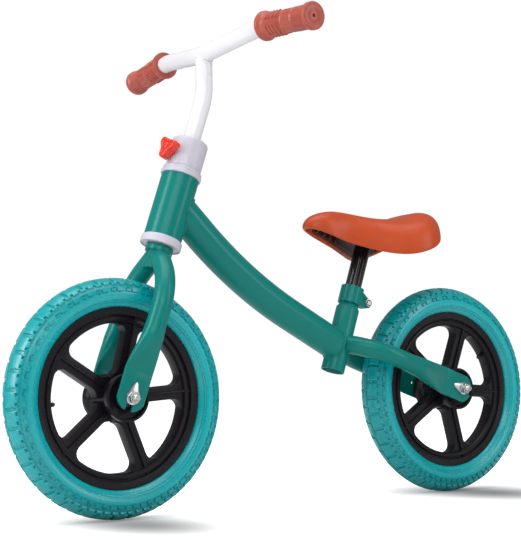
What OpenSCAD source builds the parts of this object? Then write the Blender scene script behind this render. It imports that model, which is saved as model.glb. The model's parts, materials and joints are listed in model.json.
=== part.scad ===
// Child's balance bike: an assembly of separate pieces, in millimetres.
// The bike stands on the floor at Z = 0, +X is forward, +Y is the rider's left, +Z is up.
// The origin lies on the floor, halfway between the two wheel axles.

/* [Overall] */
// distance between the two axles
wheelbase = 535; // [445:1:645]
// outside diameter of the tyres
wheel_dia = 290; // [240:1:350]
// width of the tyres
tyre_width = 45.6; // [38:0.1:50]
// rim diameter that the tyre sits on at its side
rim_dia = 218; // [180:1:262]
// lean of the steering axis from upright, degrees
head_tilt = 19.5; // [16:0.1:23]

/* [Fork] */
// outside diameter of the fork blades
blade_dia = 25; // [21:0.1:27]
// wall of the fork blades and rear stays
tube_wall = 1.8; // [1.5:0.1:2.4]
// distance of the blade centres from the middle plane
blade_offset = 46; // [44:0.1:55]
// radius of the bend at the top of each blade
blade_bend = 75; // [62:1:90]
// angle of that bend, degrees
blade_sweep = 45; // [38:1:48]
// where the blade bend starts, measured from the axle
blade_bend_start = 113; // [104:1:130]

/* [Head] */
// outside diameter of the head tube
head_dia = 48; // [44:0.1:56]
// wall of the head tube
head_wall = 2.2; // [1.8:0.1:2.8]
// distance along the steering axis from the axle to the lower head ring
head_start = 196; // [192:1:235]
// length of the bare head tube
head_len = 83; // [70:1:100]
// visible height of the lower head ring
lower_ring_len = 11; // [9:0.1:13]
// visible height of the upper head ring
upper_ring_len = 10; // [8:0.1:12]
// outside diameter of both head rings
ring_dia = 52; // [50:0.1:62]
// outside diameter of the steerer tube
steerer_dia = 28.6; // [25:0.1:32]
// outside diameter of the clamp collar on top
collar_dia = 46; // [40:0.1:54]
// height of the clamp collar
collar_len = 40.5; // [34:0.1:48]

/* [Handlebar] */
// outside diameter of the stem and of the handlebar
bar_dia = 22.2; // [19:0.1:24]
// wall of the stem and of the handlebar
bar_wall = 1.8; // [1.5:0.1:2.4]
// straight part of the stem, from the axle to where it bends upright
stem_bend_start = 388; // [370:1:450]
// bend radius of the stem
stem_bend = 100; // [84:1:120]
// height of the handlebar centre above the floor
bar_height = 582; // [560:1:690]
// distance from the middle plane to the inner end of each grip
grip_start = 117; // [98:1:140]
// length of each grip
grip_len = 91; // [76:1:109]
// outside diameter of the grip body
grip_dia = 29; // [27:0.1:34]
// outside diameter of the inner grip flange
grip_flange_dia = 37; // [34:0.1:44]

/* [Frame] */
// outside diameter of the main tube
main_dia = 42; // [36:0.1:50]
// wall of the main tube
main_wall = 1.8; // [1.5:0.1:2.4]
// bend radius of the main tube
main_bend = 600; // [500:1:720]
// lean of the seat tube from upright, degrees
seat_tilt = 19.2; // [16:0.1:22]
// distance of the seat tube's lower end behind the middle of the bike
seat_back = 65.5; // [55:0.1:78]
// height of the seat tube's lower end
seat_low = 173; // [165:1:205]
// length of the seat tube
seat_tube_len = 119; // [100:1:140]
// outside diameter of the seat tube
seat_tube_dia = 31.8; // [30:0.1:38]
// outside diameter of the necked top of the seat tube
seat_neck_dia = 26.5; // [26:0.1:29]
// outside diameter of the seat clamp collar
seat_clamp_dia = 31.6; // [30:0.1:38]
// rise of the rear stays from level, degrees
stay_rise = 19.3; // [16:0.1:23]
// radius of the bend in each rear stay
stay_bend = 80; // [67:1:96]
// angle of that bend, degrees
stay_sweep = 55; // [48:1:60]
// where the stay bend starts, measured from the axle
stay_bend_start = 126; // [112:1:139]
// distance of the stay centres from the middle plane
stay_offset = 47; // [45:0.1:56]

/* [Seat] */
// outside diameter of the seat post
post_dia = 22.2; // [19:0.1:22.6]
// length of the seat post
post_len = 147; // [122:1:176]
// length of the saddle
saddle_len = 228; // [190:1:273]
// width of the saddle
saddle_width = 138; // [115:1:165]
// thickness of the saddle's padding at its middle
saddle_pad = 15; // [12:0.1:18]

/* [Small pieces] */
// axle diameter
axle_dia = 8; // [7:0.1:10]
// distance from the middle plane to each axle tip
axle_tip = 54; // [52:0.1:64]
// distance from the middle plane to the flattened tube ends
plate_in = 35.5; // [34:0.1:42]
// thickness of the flattened tube ends
plate_thick = 4; // [3:0.1:5]
// width of the flattened tube ends
plate_wide = 38; // [32:1:45]
// width of the axle nuts across their flats
nut_flats = 13; // [12:0.1:15]
// height of the axle nuts
nut_high = 6.5; // [5:0.1:8]
// radial clearance of pieces that turn or slide on each other
fit_gap = 0.05; // [0.02:0.01:0.1]
// clearance between bodies that pass each other
pass_gap = 0.3; // [0.2:0.05:0.6]

/* [Hidden] */
$fn = 96;

wheel_r = wheel_dia / 2;
rim_r = rim_dia / 2;
half_tyre = tyre_width / 2;
axle_r = axle_dia / 2;
front_x = wheelbase / 2;
rear_x = -wheelbase / 2;
blade_r = blade_dia / 2;
bar_r = bar_dia / 2;
post_r = post_dia / 2;
steerer_r = steerer_dia / 2;
head_r = head_dia / 2;
collar_r = collar_dia / 2;
plate_out = plate_in + plate_thick;
washer_thick = 2;
nut_start = plate_out + washer_thick;
bearing_r = 11;
bearing_wide = 7;
bearing_out = plate_in - 6.5;
hub_half = plate_in - 4.5;
valve_r = 2.75;
front_spoke_deg = 32;
rear_spoke_deg = 39.7;
// steering axis stations, measured from the front axle
crown_low = head_start - 8;
tube_low = head_start + lower_ring_len;
tube_top = tube_low + head_len;
ring_top = tube_top + upper_ring_len;
collar_low = ring_top + 0.5;
collar_top = collar_low + collar_len;
steerer_top = collar_low + collar_len * 0.45;
knob_s = collar_low + collar_len * 0.44;
knob_turn = 10;
knob_spin = -18;
stem_low = tube_low + 12;
// main tube corners in the middle plane
main_dip_front = 9.3;
main_dip_back = 7.3;
main_r = main_dia / 2;
main_join = tube_low + head_len * 0.6;
seat_join = 34;

// ---- placing ----
module on_front_axle() translate([front_x, 0, wheel_r]) children();
module on_rear_axle() translate([rear_x, 0, wheel_r]) children();
// local Z runs up the steering axis, local X points forward
module on_head() on_front_axle() rotate([0, -head_tilt, 0]) children();
// local X runs forward along the stays, local Z is square to them
module on_stay() on_rear_axle() rotate([0, -stay_rise, 0]) children();
// local Z runs up the seat tube from its open lower end
module on_seat() translate([-seat_back, 0, seat_low]) rotate([0, -seat_tilt, 0]) children();
// turns a wheel drawn flat so that its axis lies along Y
module upright() rotate([90, 0, 0]) children();
module both_sides() { children(); mirror([0, 1, 0]) children(); }

function head_point(s) = [front_x - s * sin(head_tilt), 0, wheel_r + s * cos(head_tilt)];
function seat_point(u) = [-seat_back - u * sin(seat_tilt), 0, seat_low + u * cos(seat_tilt)];
function unit(v) = v / norm(v);

// ---- tubes that follow a bent path ----
module rod(a, b, r) {
  d = b - a;
  translate(a) rotate([0, acos(d[2] / norm(d)), atan2(d[1], d[0])]) cylinder(h = norm(d), r = r);
}
module elbow(a, b, c, bend_r, r) {
  u = unit(b - a);
  v = unit(c - b);
  turn = acos(u * v);
  start = b - u * bend_r * tan(turn / 2);
  inward = unit(v - u * (u * v));
  mid = start + inward * bend_r;
  x = -inward;
  z = cross(x, u);
  multmatrix([[x[0], u[0], z[0], mid[0]], [x[1], u[1], z[1], mid[1]],
      [x[2], u[2], z[2], mid[2]], [0, 0, 0, 1]])
    rotate_extrude(angle = turn) translate([bend_r, 0]) circle(r = r);
}
// how much of a straight the bend at point i takes away
function bend_cut(p, bends, i) = i <= 0 || i >= len(p) - 1 ? 0
  : bends[i] * tan(acos(unit(p[i] - p[i - 1]) * unit(p[i + 1] - p[i])) / 2);
// each straight runs a little way into the bends beside it and is a hair thicker
module pipe(p, bends, r) {
  for (i = [0:len(p) - 2]) {
    u = unit(p[i + 1] - p[i]);
    a = bend_cut(p, bends, i);
    b = bend_cut(p, bends, i + 1);
    rod(p[i] + u * (a > 0 ? a - 0.5 : 0), p[i + 1] - u * (b > 0 ? b - 0.5 : 0), r + 0.01);
  }
  for (i = [1:len(p) - 2]) elbow(p[i - 1], p[i], p[i + 1], bends[i], r);
}

// ---- wheels ----
// half sections are (radius, sideways) pairs, mirrored to both sides
module turned(half) rotate_extrude() polygon(concat(half,
  [for (i = [len(half) - 1:-1:0]) [half[i][0], -half[i][1]]]));

seat_r = rim_r - 6;
flange_half = 13.5;
module tyre() {
  bulge = half_tyre;
  crown = wheel_r;
  side = rim_r + (wheel_r - rim_r) * 0.5;
  upright() turned([
    [seat_r + 0.1, flange_half - 2.1],
    [rim_r + 0.3, flange_half - 2.1],
    [rim_r + 0.3, flange_half + 0.6],
    [rim_r + 3, flange_half + 3.6],
    [rim_r + 8, bulge - 2.4],
    [side - 4, bulge - 0.5],
    [side, bulge],
    [side + 4.5, bulge - 0.5],
    [side + 9, bulge - 2.6],
    [side + 12.5, bulge - 6],
    [side + 15.3, bulge - 10.5],
    [crown - 1, bulge - 15],
    [crown, 3]]);
}
module spoke(deg) rotate([0, 0, deg]) {
  inner = rim_r - 19;
  translate([0, 0, -8]) linear_extrude(16)
    polygon([[20, -12.5], [30, -12], [40, -8.6], [inner - 16, -8.6], [inner - 5, -10.5],
        [inner + 3, -15], [inner + 3, 15], [inner - 5, 10.5], [inner - 16, 8.6], [40, 8.6],
        [30, 12], [20, 12.5]]);
  // the raised rib crosses the groove to the outer ring
  translate([20, -1, -10.8]) cube([rim_r - 28, 2, 21.6]);
}
module rim(first_deg, valve_deg) {
  inner = rim_r - 19;
  upright() difference() {
    union() {
      turned([[inner, 9], [inner + 1, 11], [inner + 7, 11], [inner + 7, 8.5], [inner + 10, 8.5],
          [inner + 10, 12], [rim_r, flange_half], [rim_r, flange_half - 1.5],
          [seat_r, flange_half - 1.9]]);
      turned([[axle_r + 3, 18], [24, 17], [25, 14], [25, 0]]);
      turned([[bearing_r + 0.02, 0], [25, 0], [25, 16], [29, hub_half - 7], [29, hub_half],
          [25.5, hub_half], [25, hub_half - 6], [15, hub_half - 7], [15, bearing_out],
          [bearing_r + 0.02, bearing_out]]);
      for (i = [0:4]) spoke(first_deg + i * 72);
    }
    cylinder(h = 80, r = axle_r + 3, center = true);
    for (k = [-1, 1]) translate([0, 0, k * (bearing_out - bearing_wide / 2)])
      cylinder(h = bearing_wide + 0.04, r = bearing_r + 0.02, center = true);
    for (k = [-1, 1]) translate([0, 0, k * (bearing_out + 10)])
      cylinder(h = 20, r = bearing_r + 0.02, center = true);
    rotate([0, 90, valve_deg]) translate([0, 0, inner - 3])
      cylinder(h = 9.5, r = valve_r + 0.02);
  }
}
module valve_stem(deg) upright() rotate([0, 90, deg]) translate([0, 0, rim_r - 28]) {
  translate([0, 0, valve_r]) sphere(r = valve_r);
  translate([0, 0, valve_r]) cylinder(h = 12, r = valve_r);
}
module hub_bearings() upright() for (k = [-1, 1])
  translate([0, 0, k * (bearing_out - bearing_wide / 2)]) difference() {
    cylinder(h = bearing_wide, r = bearing_r, center = true);
    cylinder(h = bearing_wide + 2, r = axle_r + fit_gap, center = true);
  }
// the bare tip beyond each nut is turned down a little
module axle() upright() {
  cylinder(h = 2 * (nut_start + nut_high + 0.5), r = axle_r, center = true);
  cylinder(h = 2 * axle_tip, r = axle_r - 0.3, center = true);
}
module axle_nuts() upright() for (k = [-1, 1]) mirror([0, 0, k > 0 ? 0 : 1])
  translate([0, 0, nut_start]) difference() {
    intersection() {
      cylinder(h = nut_high, r = nut_flats / 2 / cos(30), $fn = 6);
      cylinder(h = nut_high, r1 = nut_flats * 0.78, r2 = nut_flats * 0.51);
    }
    translate([0, 0, -1]) cylinder(h = nut_high + 2, r = axle_r + 0.02);
  }
// teardrop washer; its small tab drops into a hole in the plate
module tab_washers(deg) upright() for (k = [-1, 1]) mirror([0, 0, k > 0 ? 0 : 1])
  translate([0, 0, plate_out]) rotate([0, 0, deg]) {
    big = 8.5;
    small = 2.6;
    far = 16.3;
    lean = asin((big - small) / far);
    difference() {
      linear_extrude(washer_thick) {
        circle(r = big);
        translate([far, 0]) circle(r = small);
        polygon([[big * sin(lean), big * cos(lean)], [far + small * sin(lean), small * cos(lean)],
            [far + small * sin(lean), -small * cos(lean)], [big * sin(lean), -big * cos(lean)]]);
      }
      translate([0, 0, -1]) cylinder(h = washer_thick + 2, r = axle_r + 0.05);
    }
    translate([far, 0, -1.8]) cylinder(h = 2, r = 2);
  }
module locknuts() upright() for (k = [-1, 1]) mirror([0, 0, k > 0 ? 0 : 1])
  translate([0, 0, bearing_out + pass_gap]) difference() {
    cylinder(h = plate_in - bearing_out - pass_gap, r = 7);
    translate([0, 0, -1]) cylinder(h = 20, r = axle_r + 0.02);
  }

// ---- flattened tube end, drawn along local X with the axle at the origin ----
module end_plate(flat_to) {
  half = plate_wide / 2;
  rotate([90, 0, 0]) translate([0, 0, -plate_out]) difference() {
    linear_extrude(plate_thick)
      polygon([[flat_to, -half], [flat_to, half], [-5, half], [-13, half * 0.6],
          [-16, half * 0.25], [-16, -half * 0.25], [-13, -half * 0.6], [-5, -half]]);
    translate([0, 0, -1]) cylinder(h = plate_thick + 2, r = axle_r + 0.25);
    translate([-30, -axle_r - 0.25, -1]) cube([30, axle_dia + 0.5, plate_thick + 2]);
    translate([16.3, 0, -1]) cylinder(h = plate_thick + 2, r = 2.3);
  }
}
// the tube opens out of the plate between the two given distances
module end_taper(flat_to, round_at, offset) {
  mid_out = offset - plate_in - plate_thick / 2;
  wide_r = sqrt(pow(plate_wide / 2, 2) + pow(mid_out, 2));
  intersection() {
    translate([flat_to - 0.5, offset, 0]) rotate([0, 90, 0])
      cylinder(h = round_at - flat_to + 1, r1 = wide_r, r2 = blade_r);
    translate([0, 0, -50]) linear_extrude(100)
      polygon([[flat_to - 0.5, plate_in], [round_at, offset - blade_r - 0.5],
          [round_at + 0.5, offset - blade_r - 0.5], [round_at + 0.5, offset + blade_r + 1],
          [round_at, offset + blade_r + 1], [flat_to, plate_out], [flat_to - 0.5, plate_out]]);
  }
}
module bent_leg(flat_to, round_at, offset, bend_start, bend_r, sweep, extra) {
  turned_mid = [bend_start + bend_r * tan(sweep / 2), offset, 0];
  last = turned_mid + (bend_r * tan(sweep / 2) + extra) * [cos(sweep), -sin(sweep), 0];
  difference() {
    union() {
      end_plate(flat_to);
      end_taper(flat_to, round_at, offset);
      pipe([[round_at, offset, 0], turned_mid, last], [0, bend_r, 0], blade_r);
    }
    pipe([[round_at + 3, offset, 0], turned_mid, last + 5 * unit(last - turned_mid)],
      [0, bend_r, 0], blade_r - tube_wall);
  }
}

// ---- fork ----
blade_corner = [blade_bend_start + blade_bend * tan(blade_sweep / 2), blade_offset, 0];
module one_blade() on_head() difference() {
  rotate([0, -90, 0]) bent_leg(25, 45, blade_offset, blade_bend_start, blade_bend,
    blade_sweep, 40);
  translate([-40, -60, crown_low]) cube([80, 120, 60]);
  translate([-40, -60, -40]) cube([80, 60.01, 400]);
}
module left_fork_blade() color("teal") one_blade();
module right_fork_blade() color("teal") mirror([0, 1, 0]) one_blade();
module fork_crown() color("teal") on_head() difference() {
  translate([0, 0, crown_low]) cylinder(h = head_start - pass_gap - crown_low, r = steerer_r + 3);
  translate([0, 0, crown_low - 1]) cylinder(h = 20, r = steerer_r + 0.02);
}
// a front and a rear plate close the corner between the two blades
module fork_bridge() color("teal") on_head() difference() {
  for (k = [-1, 1]) translate([k * 9 - 1.5, 0, crown_low]) rotate([90, 0, 90]) linear_extrude(3)
    polygon([[-17, -22], [17, -22], [17, -20], [3, -1.5], [-3, -1.5], [-17, -20]]);
  both_sides() rotate([0, -90, 0]) pipe([[60, blade_offset, 0], blade_corner, blade_corner
      + 90 * [cos(blade_sweep), -sin(blade_sweep), 0]], [0, blade_bend, 0], blade_r + 0.05);
}
module steerer_tube() color("silver") on_head() difference() {
  translate([0, 0, crown_low]) cylinder(h = steerer_top - crown_low, r = steerer_r);
  translate([0, 0, crown_low - 1]) cylinder(h = 300, r = bar_r + fit_gap);
  translate([0, 0, knob_s]) rotate([0, 90, knob_turn]) cylinder(h = 40, r = 6);
}
module steering_collar() color("lavender") on_head() difference() {
  union() {
    translate([0, 0, collar_low]) cylinder(h = collar_len - 3, r = collar_r);
    translate([0, 0, collar_top - 3]) cylinder(h = 3, r1 = collar_r, r2 = collar_r - 3);
    translate([0, 0, knob_s]) rotate([0, 90, knob_turn]) cylinder(h = collar_r - 0.5, r = 8);
  }
  translate([0, 0, collar_low - 1]) cylinder(h = collar_len + 9, r = bar_r + fit_gap);
  translate([0, 0, collar_low - 1])
    cylinder(h = steerer_top - collar_low + 1.05, r = steerer_r + 0.05);
  translate([0, 0, knob_s]) rotate([0, 90, knob_turn]) {
    cylinder(h = 60, r = 3 + 0.2);
    translate([0, 0, 15.6]) cylinder(h = 5.04, r = 5.6);
  }
}
module collar_insert() color("silver") on_head() translate([0, 0, knob_s])
  rotate([0, 90, knob_turn]) translate([0, 0, 15.62]) difference() {
    cylinder(h = 5, r = 5.58);
    translate([0, 0, -1]) cylinder(h = 7, r = 3 + fit_gap);
  }
module clamp_knob_bolt() color("silver") on_head() translate([0, 0, knob_s])
  rotate([0, 90, knob_turn]) translate([0, 0, bar_r + pass_gap])
    cylinder(h = collar_r + 10 - bar_r, r = 3);
module clamp_knob() color("red") on_head() translate([0, 0, knob_s])
  rotate([0, 90, knob_turn]) rotate([0, 0, knob_spin]) translate([0, 0, collar_r]) difference() {
    union() {
      cylinder(h = 5, r = 7);
      translate([0, 0, 2.5]) cylinder(h = 12.5, r = 9.4);
      for (k = [0:2]) rotate([0, 0, k * 120]) {
        translate([10.3, 0, 2.5]) cylinder(h = 12.5, r = 5.6);
        translate([0, -5.6, 2.5]) cube([10.3, 11.2, 12.5]);
      }
    }
    translate([0, 0, -1]) cylinder(h = 12.5, r = 3.05);
  }

// ---- head ----
module head_tube() color("teal") on_head() difference() {
  translate([0, 0, tube_low]) cylinder(h = head_len, r = head_r);
  translate([0, 0, tube_low - 1]) cylinder(h = head_len + 2, r = head_r - head_wall);
}
module head_ring(low, len_seen, neck_at, neck_len) difference() {
  union() {
    translate([0, 0, low]) cylinder(h = len_seen, r = ring_dia / 2);
    translate([0, 0, neck_at]) cylinder(h = neck_len, r = head_r - head_wall - 0.02);
  }
  translate([0, 0, low - 20]) cylinder(h = 80, r = steerer_r + fit_gap);
}
module lower_head_ring() color("lavender") on_head()
  head_ring(head_start, lower_ring_len, tube_low - 1, 13);
module upper_head_ring() color("lavender") on_head()
  head_ring(tube_top, upper_ring_len, tube_top - 12, 13);

// ---- frame ----
front_join = head_point(main_join);
back_join = seat_point(seat_join);
chord = atan2(front_join[2] - back_join[2], front_join[0] - back_join[0]);
front_deg = chord + main_dip_front;
back_deg = chord - main_dip_back;
span = front_join - back_join;
back_run = (span[0] * sin(front_deg) - span[2] * cos(front_deg)) / sin(front_deg - back_deg);
main_corner = back_join + back_run * [cos(back_deg), 0, sin(back_deg)];
module main_path(r, more) pipe([front_join + more * unit(front_join - main_corner), main_corner,
    back_join + more * unit(back_join - main_corner)], [0, main_bend, 0], r);
// everything ahead of the line where the main tube meets the stays
stay_line = 7;
module ahead_of_seat() on_seat() translate([stay_line, -100, -200]) cube([600, 200, 800]);
module main_tube() color("teal") difference() {
  intersection() { main_path(main_r, 0); ahead_of_seat(); }
  main_path(main_r - main_wall, 30);
  on_head() translate([0, 0, 100]) cylinder(h = 300, r = head_r + 0.02);
  on_seat() translate([0, 0, -60]) cylinder(h = 300, r = seat_tube_dia / 2 + 0.02);
}
neck_at = seat_tube_len - 30;
module seat_tube() color("teal") on_seat() difference() {
  union() {
    cylinder(h = neck_at, r = seat_tube_dia / 2);
    translate([0, 0, neck_at]) cylinder(h = 4, r1 = seat_tube_dia / 2, r2 = seat_neck_dia / 2);
    cylinder(h = seat_tube_len, r = seat_neck_dia / 2);
  }
  translate([0, 0, -1]) cylinder(h = neck_at - 1, r = seat_tube_dia / 2 - 1.8);
  translate([0, 0, -1]) cylinder(h = seat_tube_len + 2, r = post_r + fit_gap);
  // slit that lets the clamp close the neck
  translate([-40, -1, neck_at + 5]) cube([40, 2, 60]);
}
clamp_low = seat_tube_len - 23;
clamp_bolt_u = clamp_low + 10;
clamp_bolt_back = 25;
module seat_clamp_collar() color("teal") on_seat() difference() {
  union() {
    translate([0, 0, clamp_low]) cylinder(h = 24, r = seat_clamp_dia / 2);
    both_sides() translate([0, 7, 0]) rotate([90, 0, 0]) linear_extrude(5.5)
      polygon([[-12, clamp_low + 1], [-clamp_bolt_back - 1, clamp_bolt_u - 7],
          [-clamp_bolt_back - 6, clamp_bolt_u - 5], [-clamp_bolt_back - 7, clamp_bolt_u],
          [-clamp_bolt_back - 5, clamp_bolt_u + 5], [-clamp_bolt_back, clamp_bolt_u + 7],
          [-12, clamp_low + 23]]);
  }
  translate([0, 0, clamp_low - 1]) cylinder(h = 30, r = seat_neck_dia / 2 + 0.05);
  translate([-50, -1.5, clamp_low - 1]) cube([50, 3, 40]);
  translate([-clamp_bolt_back, 0, clamp_bolt_u]) rotate([90, 0, 0])
    cylinder(h = 40, r = 3.1, center = true);
}
module seat_clamp_bolt() color("silver") on_seat()
  translate([-clamp_bolt_back, 0, clamp_bolt_u]) {
    translate([0, 9.5, 0]) rotate([90, 0, 0]) cylinder(h = 18, r = 3);
    translate([0, -7.02, 0]) rotate([90, 0, 0]) cylinder(h = 4, r = 5.8, $fn = 6);
  }
module seat_clamp_nut() color("silver") on_seat()
  translate([-clamp_bolt_back, 7.02, clamp_bolt_u]) rotate([-90, 0, 0]) difference() {
    union() {
      cylinder(h = 3.5, r = 5.6, $fn = 6);
      intersection() {
        translate([0, 0, 2.6]) sphere(r = 4.7);
        translate([0, 0, 3]) cylinder(h = 10, r = 10);
      }
    }
    translate([0, 0, -1]) cylinder(h = 3.6, r = 3.02);
  }
module one_stay() difference() {
  on_stay() bent_leg(34, 52, stay_offset, stay_bend_start, stay_bend, stay_sweep, 22);
  ahead_of_seat();
  on_seat() translate([0, 0, -60]) cylinder(h = 300, r = seat_tube_dia / 2 + 0.02);
  translate([-400, -60, 0]) cube([800, 60.01, 400]);
}
module left_chain_stay() color("teal") one_stay();
module right_chain_stay() color("teal") difference() {
  mirror([0, 1, 0]) one_stay();
  on_stay() translate([29, 0, 0]) rotate([90, 0, 0]) cylinder(h = 80, r = 2.5);
}

// ---- handlebar ----
stem_turn = head_point(stem_bend_start + stem_bend * tan(head_tilt / 2));
bar_mid = [stem_turn[0] + 1.4, 0, bar_height - 1.2];
grip_in = bar_mid + [-15.5, grip_start, 13];
grip_dir = unit([-6.5, 90, -7]);
grip_out = grip_in + grip_dir * grip_len;
bar_turn = grip_in - grip_dir * 10;
function flipped(p) = [p[0], -p[1], p[2]];
module bar_path(r, more) {
  end = grip_in + grip_dir * (grip_len - 6 + more);
  pipe([flipped(end), flipped(bar_turn), bar_mid, bar_turn, end], [0, 60, 120, 60, 0], r);
}
module handlebar_tube() color("white") difference() {
  bar_path(bar_r, 0);
  bar_path(bar_r - bar_wall, 20);
}
module stem_path(r, more) pipe([head_point(stem_low - more), stem_turn,
    [stem_turn[0], 0, bar_height - 2]], [0, stem_bend, 0], r);
module handlebar_stem() color("white") difference() {
  stem_path(bar_r, 0);
  stem_path(bar_r - bar_wall, 10);
  translate([stem_turn[0], 0, bar_height]) rotate([90, 0, 0])
    cylinder(h = 60, r = bar_r + 0.3, center = true);
}
module grip_shape() difference() {
  rotate_extrude() polygon([[0, 0], [grip_flange_dia / 2 - 1.5, 0], [grip_flange_dia / 2, 1.5],
      [grip_flange_dia / 2, 4], [grip_flange_dia / 2 - 2, 5.5], [grip_dia / 2 + 0.8, 7],
      [grip_dia / 2, 11], [grip_dia / 2, grip_len - 11], [grip_dia / 2 + 1, grip_len - 8],
      [grip_dia / 2 + 2.5, grip_len - 5], [grip_dia / 2 + 2.5, grip_len - 1.5],
      [grip_dia / 2 + 1, grip_len], [0, grip_len]]);
  translate([0, 0, -1]) cylinder(h = grip_len - 4.9, r = bar_r + 0.06);
  translate([0, 0, grip_len - 8]) cylinder(h = 12, r = 2);
}
module left_grip() color("brown") translate(grip_in)
  rotate([0, acos(grip_dir[2]), atan2(grip_dir[1], grip_dir[0])]) grip_shape();
module right_grip() color("brown") mirror([0, 1, 0]) translate(grip_in)
  rotate([0, acos(grip_dir[2]), atan2(grip_dir[1], grip_dir[0])]) grip_shape();

// ---- seat ----
post_low = seat_tube_len - 70;
module seat_post() color("black") on_seat() difference() {
  translate([0, 0, post_low]) cylinder(h = post_len, r = post_r);
  translate([0, 0, post_low - 1]) cylinder(h = post_len - 3, r = post_r - 1.8);
}
// stations from the nose back: distance, half width at the edge, edge height, top height
saddle_nose = 24;
saddle_rows = [[0, 5, 366, 370], [3, 9, 364.6, 375.5], [9, 14, 362, 381], [18, 18.5, 358.8, 385.5],
  [30, 21.8, 354, 389], [42, 23, 349.2, 390.6], [56, 25.2, 344.2, 390.4], [71, 30, 339.6, 388.8],
  [86, 36.5, 335.2, 386.8], [101, 44, 331.2, 385], [116, 52.5, 328.2, 384], [131, 60, 327.2, 384],
  [145, 65.3, 328.6, 385.6], [159, 68.4, 332, 388.8], [173, 68.2, 337, 392.8],
  [186, 62.8, 343, 395.8], [196.3, 55.3, 348.4, 396], [205.6, 45.8, 353.4, 393.6],
  [214, 35.2, 358, 389], [220.5, 25.2, 361.5, 383.5], [225.2, 15.2, 364.4, 377.5],
  [228, 6.3, 367, 372.5]];
saddle_k = saddle_len / 228;
saddle_wk = saddle_width / 138;
function pow_sign(v, p) = v < 0 ? -pow(-v, p) : pow(v, p);
arch_steps = 20;
// one cross section: over the outside from left to right, then back along the inside
function arch(row, side_in, top_in) = [for (j = [0:arch_steps]) let (a = 180 * j / arch_steps)
  [-saddle_nose - row[0] * saddle_k, max(0.5, row[1] * saddle_wk - side_in) * pow_sign(cos(a), 0.75),
    row[2] + max(0.4, row[3] - row[2] - top_in) * pow_sign(sin(a), 0.8)]];
function shell_ring(row, s0, t0, s1, t1) = concat(arch(row, s0, t0),
  [for (j = [arch_steps:-1:0]) arch(row, s1, t1)[j]]);
module shell_loft(rows, s0, t0, s1, t1) {
  rings = [for (row = rows) shell_ring(row, s0, t0, s1, t1)];
  n = len(rings[0]);
  m = len(rings);
  cap = [for (j = [0:arch_steps - 1]) each [[j, j + 1, n - 2 - j], [j, n - 2 - j, n - 1 - j]]];
  polyhedron(points = [for (ring = rings) each ring], faces = concat(
      [for (t = cap) [t[2], t[1], t[0]]],
      [for (i = [0:m - 2]) for (j = [0:n - 1]) each
        [[i * n + j, i * n + (j + 1) % n, (i + 1) * n + (j + 1) % n],
          [i * n + j, (i + 1) * n + (j + 1) % n, (i + 1) * n + j]]],
      [for (t = cap) [for (v = t) v + (m - 1) * n]]));
}
module saddle_cover() color("sienna") shell_loft(saddle_rows, 0, 0, 5, saddle_pad);
module saddle_base() color("maroon") difference() {
  union() {
    shell_loft([for (i = [3:18]) saddle_rows[i]], 5.3, saddle_pad + 0.3, 8, saddle_pad + 3.3);
    on_seat() translate([0, 0, post_low + post_len - 13]) cylinder(h = 18, r = post_r + 4);
  }
  on_seat() translate([0, 0, post_low]) cylinder(h = post_len + 0.3, r = post_r + fit_gap);
}

module front_tyre() color("turquoise") on_front_axle() tyre();
module front_rim() color("dimgray") on_front_axle() rim(front_spoke_deg, front_spoke_deg - 36);
module front_valve_stem() color("black") on_front_axle() valve_stem(front_spoke_deg - 36);
module front_hub_bearings() color("silver") on_front_axle() hub_bearings();
module front_axle() color("silver") on_front_axle() axle();
module front_axle_nuts() color("silver") on_front_axle() axle_nuts();
module front_tab_washers() color("silver") on_front_axle() tab_washers(90 + head_tilt);
module front_locknuts() color("silver") on_front_axle() locknuts();
module rear_tyre() color("turquoise") on_rear_axle() tyre();
module rear_rim() color("dimgray") on_rear_axle() rim(rear_spoke_deg, rear_spoke_deg + 108);
module rear_valve_stem() color("black") on_rear_axle() valve_stem(rear_spoke_deg + 108);
module rear_hub_bearings() color("silver") on_rear_axle() hub_bearings();
module rear_axle() color("silver") on_rear_axle() axle();
module rear_axle_nuts() color("silver") on_rear_axle() axle_nuts();
module rear_tab_washers() color("silver") on_rear_axle() tab_washers(stay_rise);
module rear_locknuts() color("silver") on_rear_axle() locknuts();

front_tyre();
front_rim();
front_valve_stem();
front_hub_bearings();
front_axle();
front_axle_nuts();
front_tab_washers();
front_locknuts();
rear_tyre();
rear_rim();
rear_valve_stem();
rear_hub_bearings();
rear_axle();
rear_axle_nuts();
rear_tab_washers();
rear_locknuts();
head_tube();
main_tube();
seat_tube();
left_chain_stay();
right_chain_stay();
upper_head_ring();
lower_head_ring();
seat_clamp_collar();
seat_clamp_bolt();
seat_clamp_nut();
steerer_tube();
fork_crown();
fork_bridge();
left_fork_blade();
right_fork_blade();
steering_collar();
collar_insert();
clamp_knob();
clamp_knob_bolt();
handlebar_tube();
handlebar_stem();
left_grip();
right_grip();
seat_post();
saddle_base();
saddle_cover();
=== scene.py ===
import json
import math
import bpy
import bmesh
from mathutils import Matrix, Vector, noise


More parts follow.
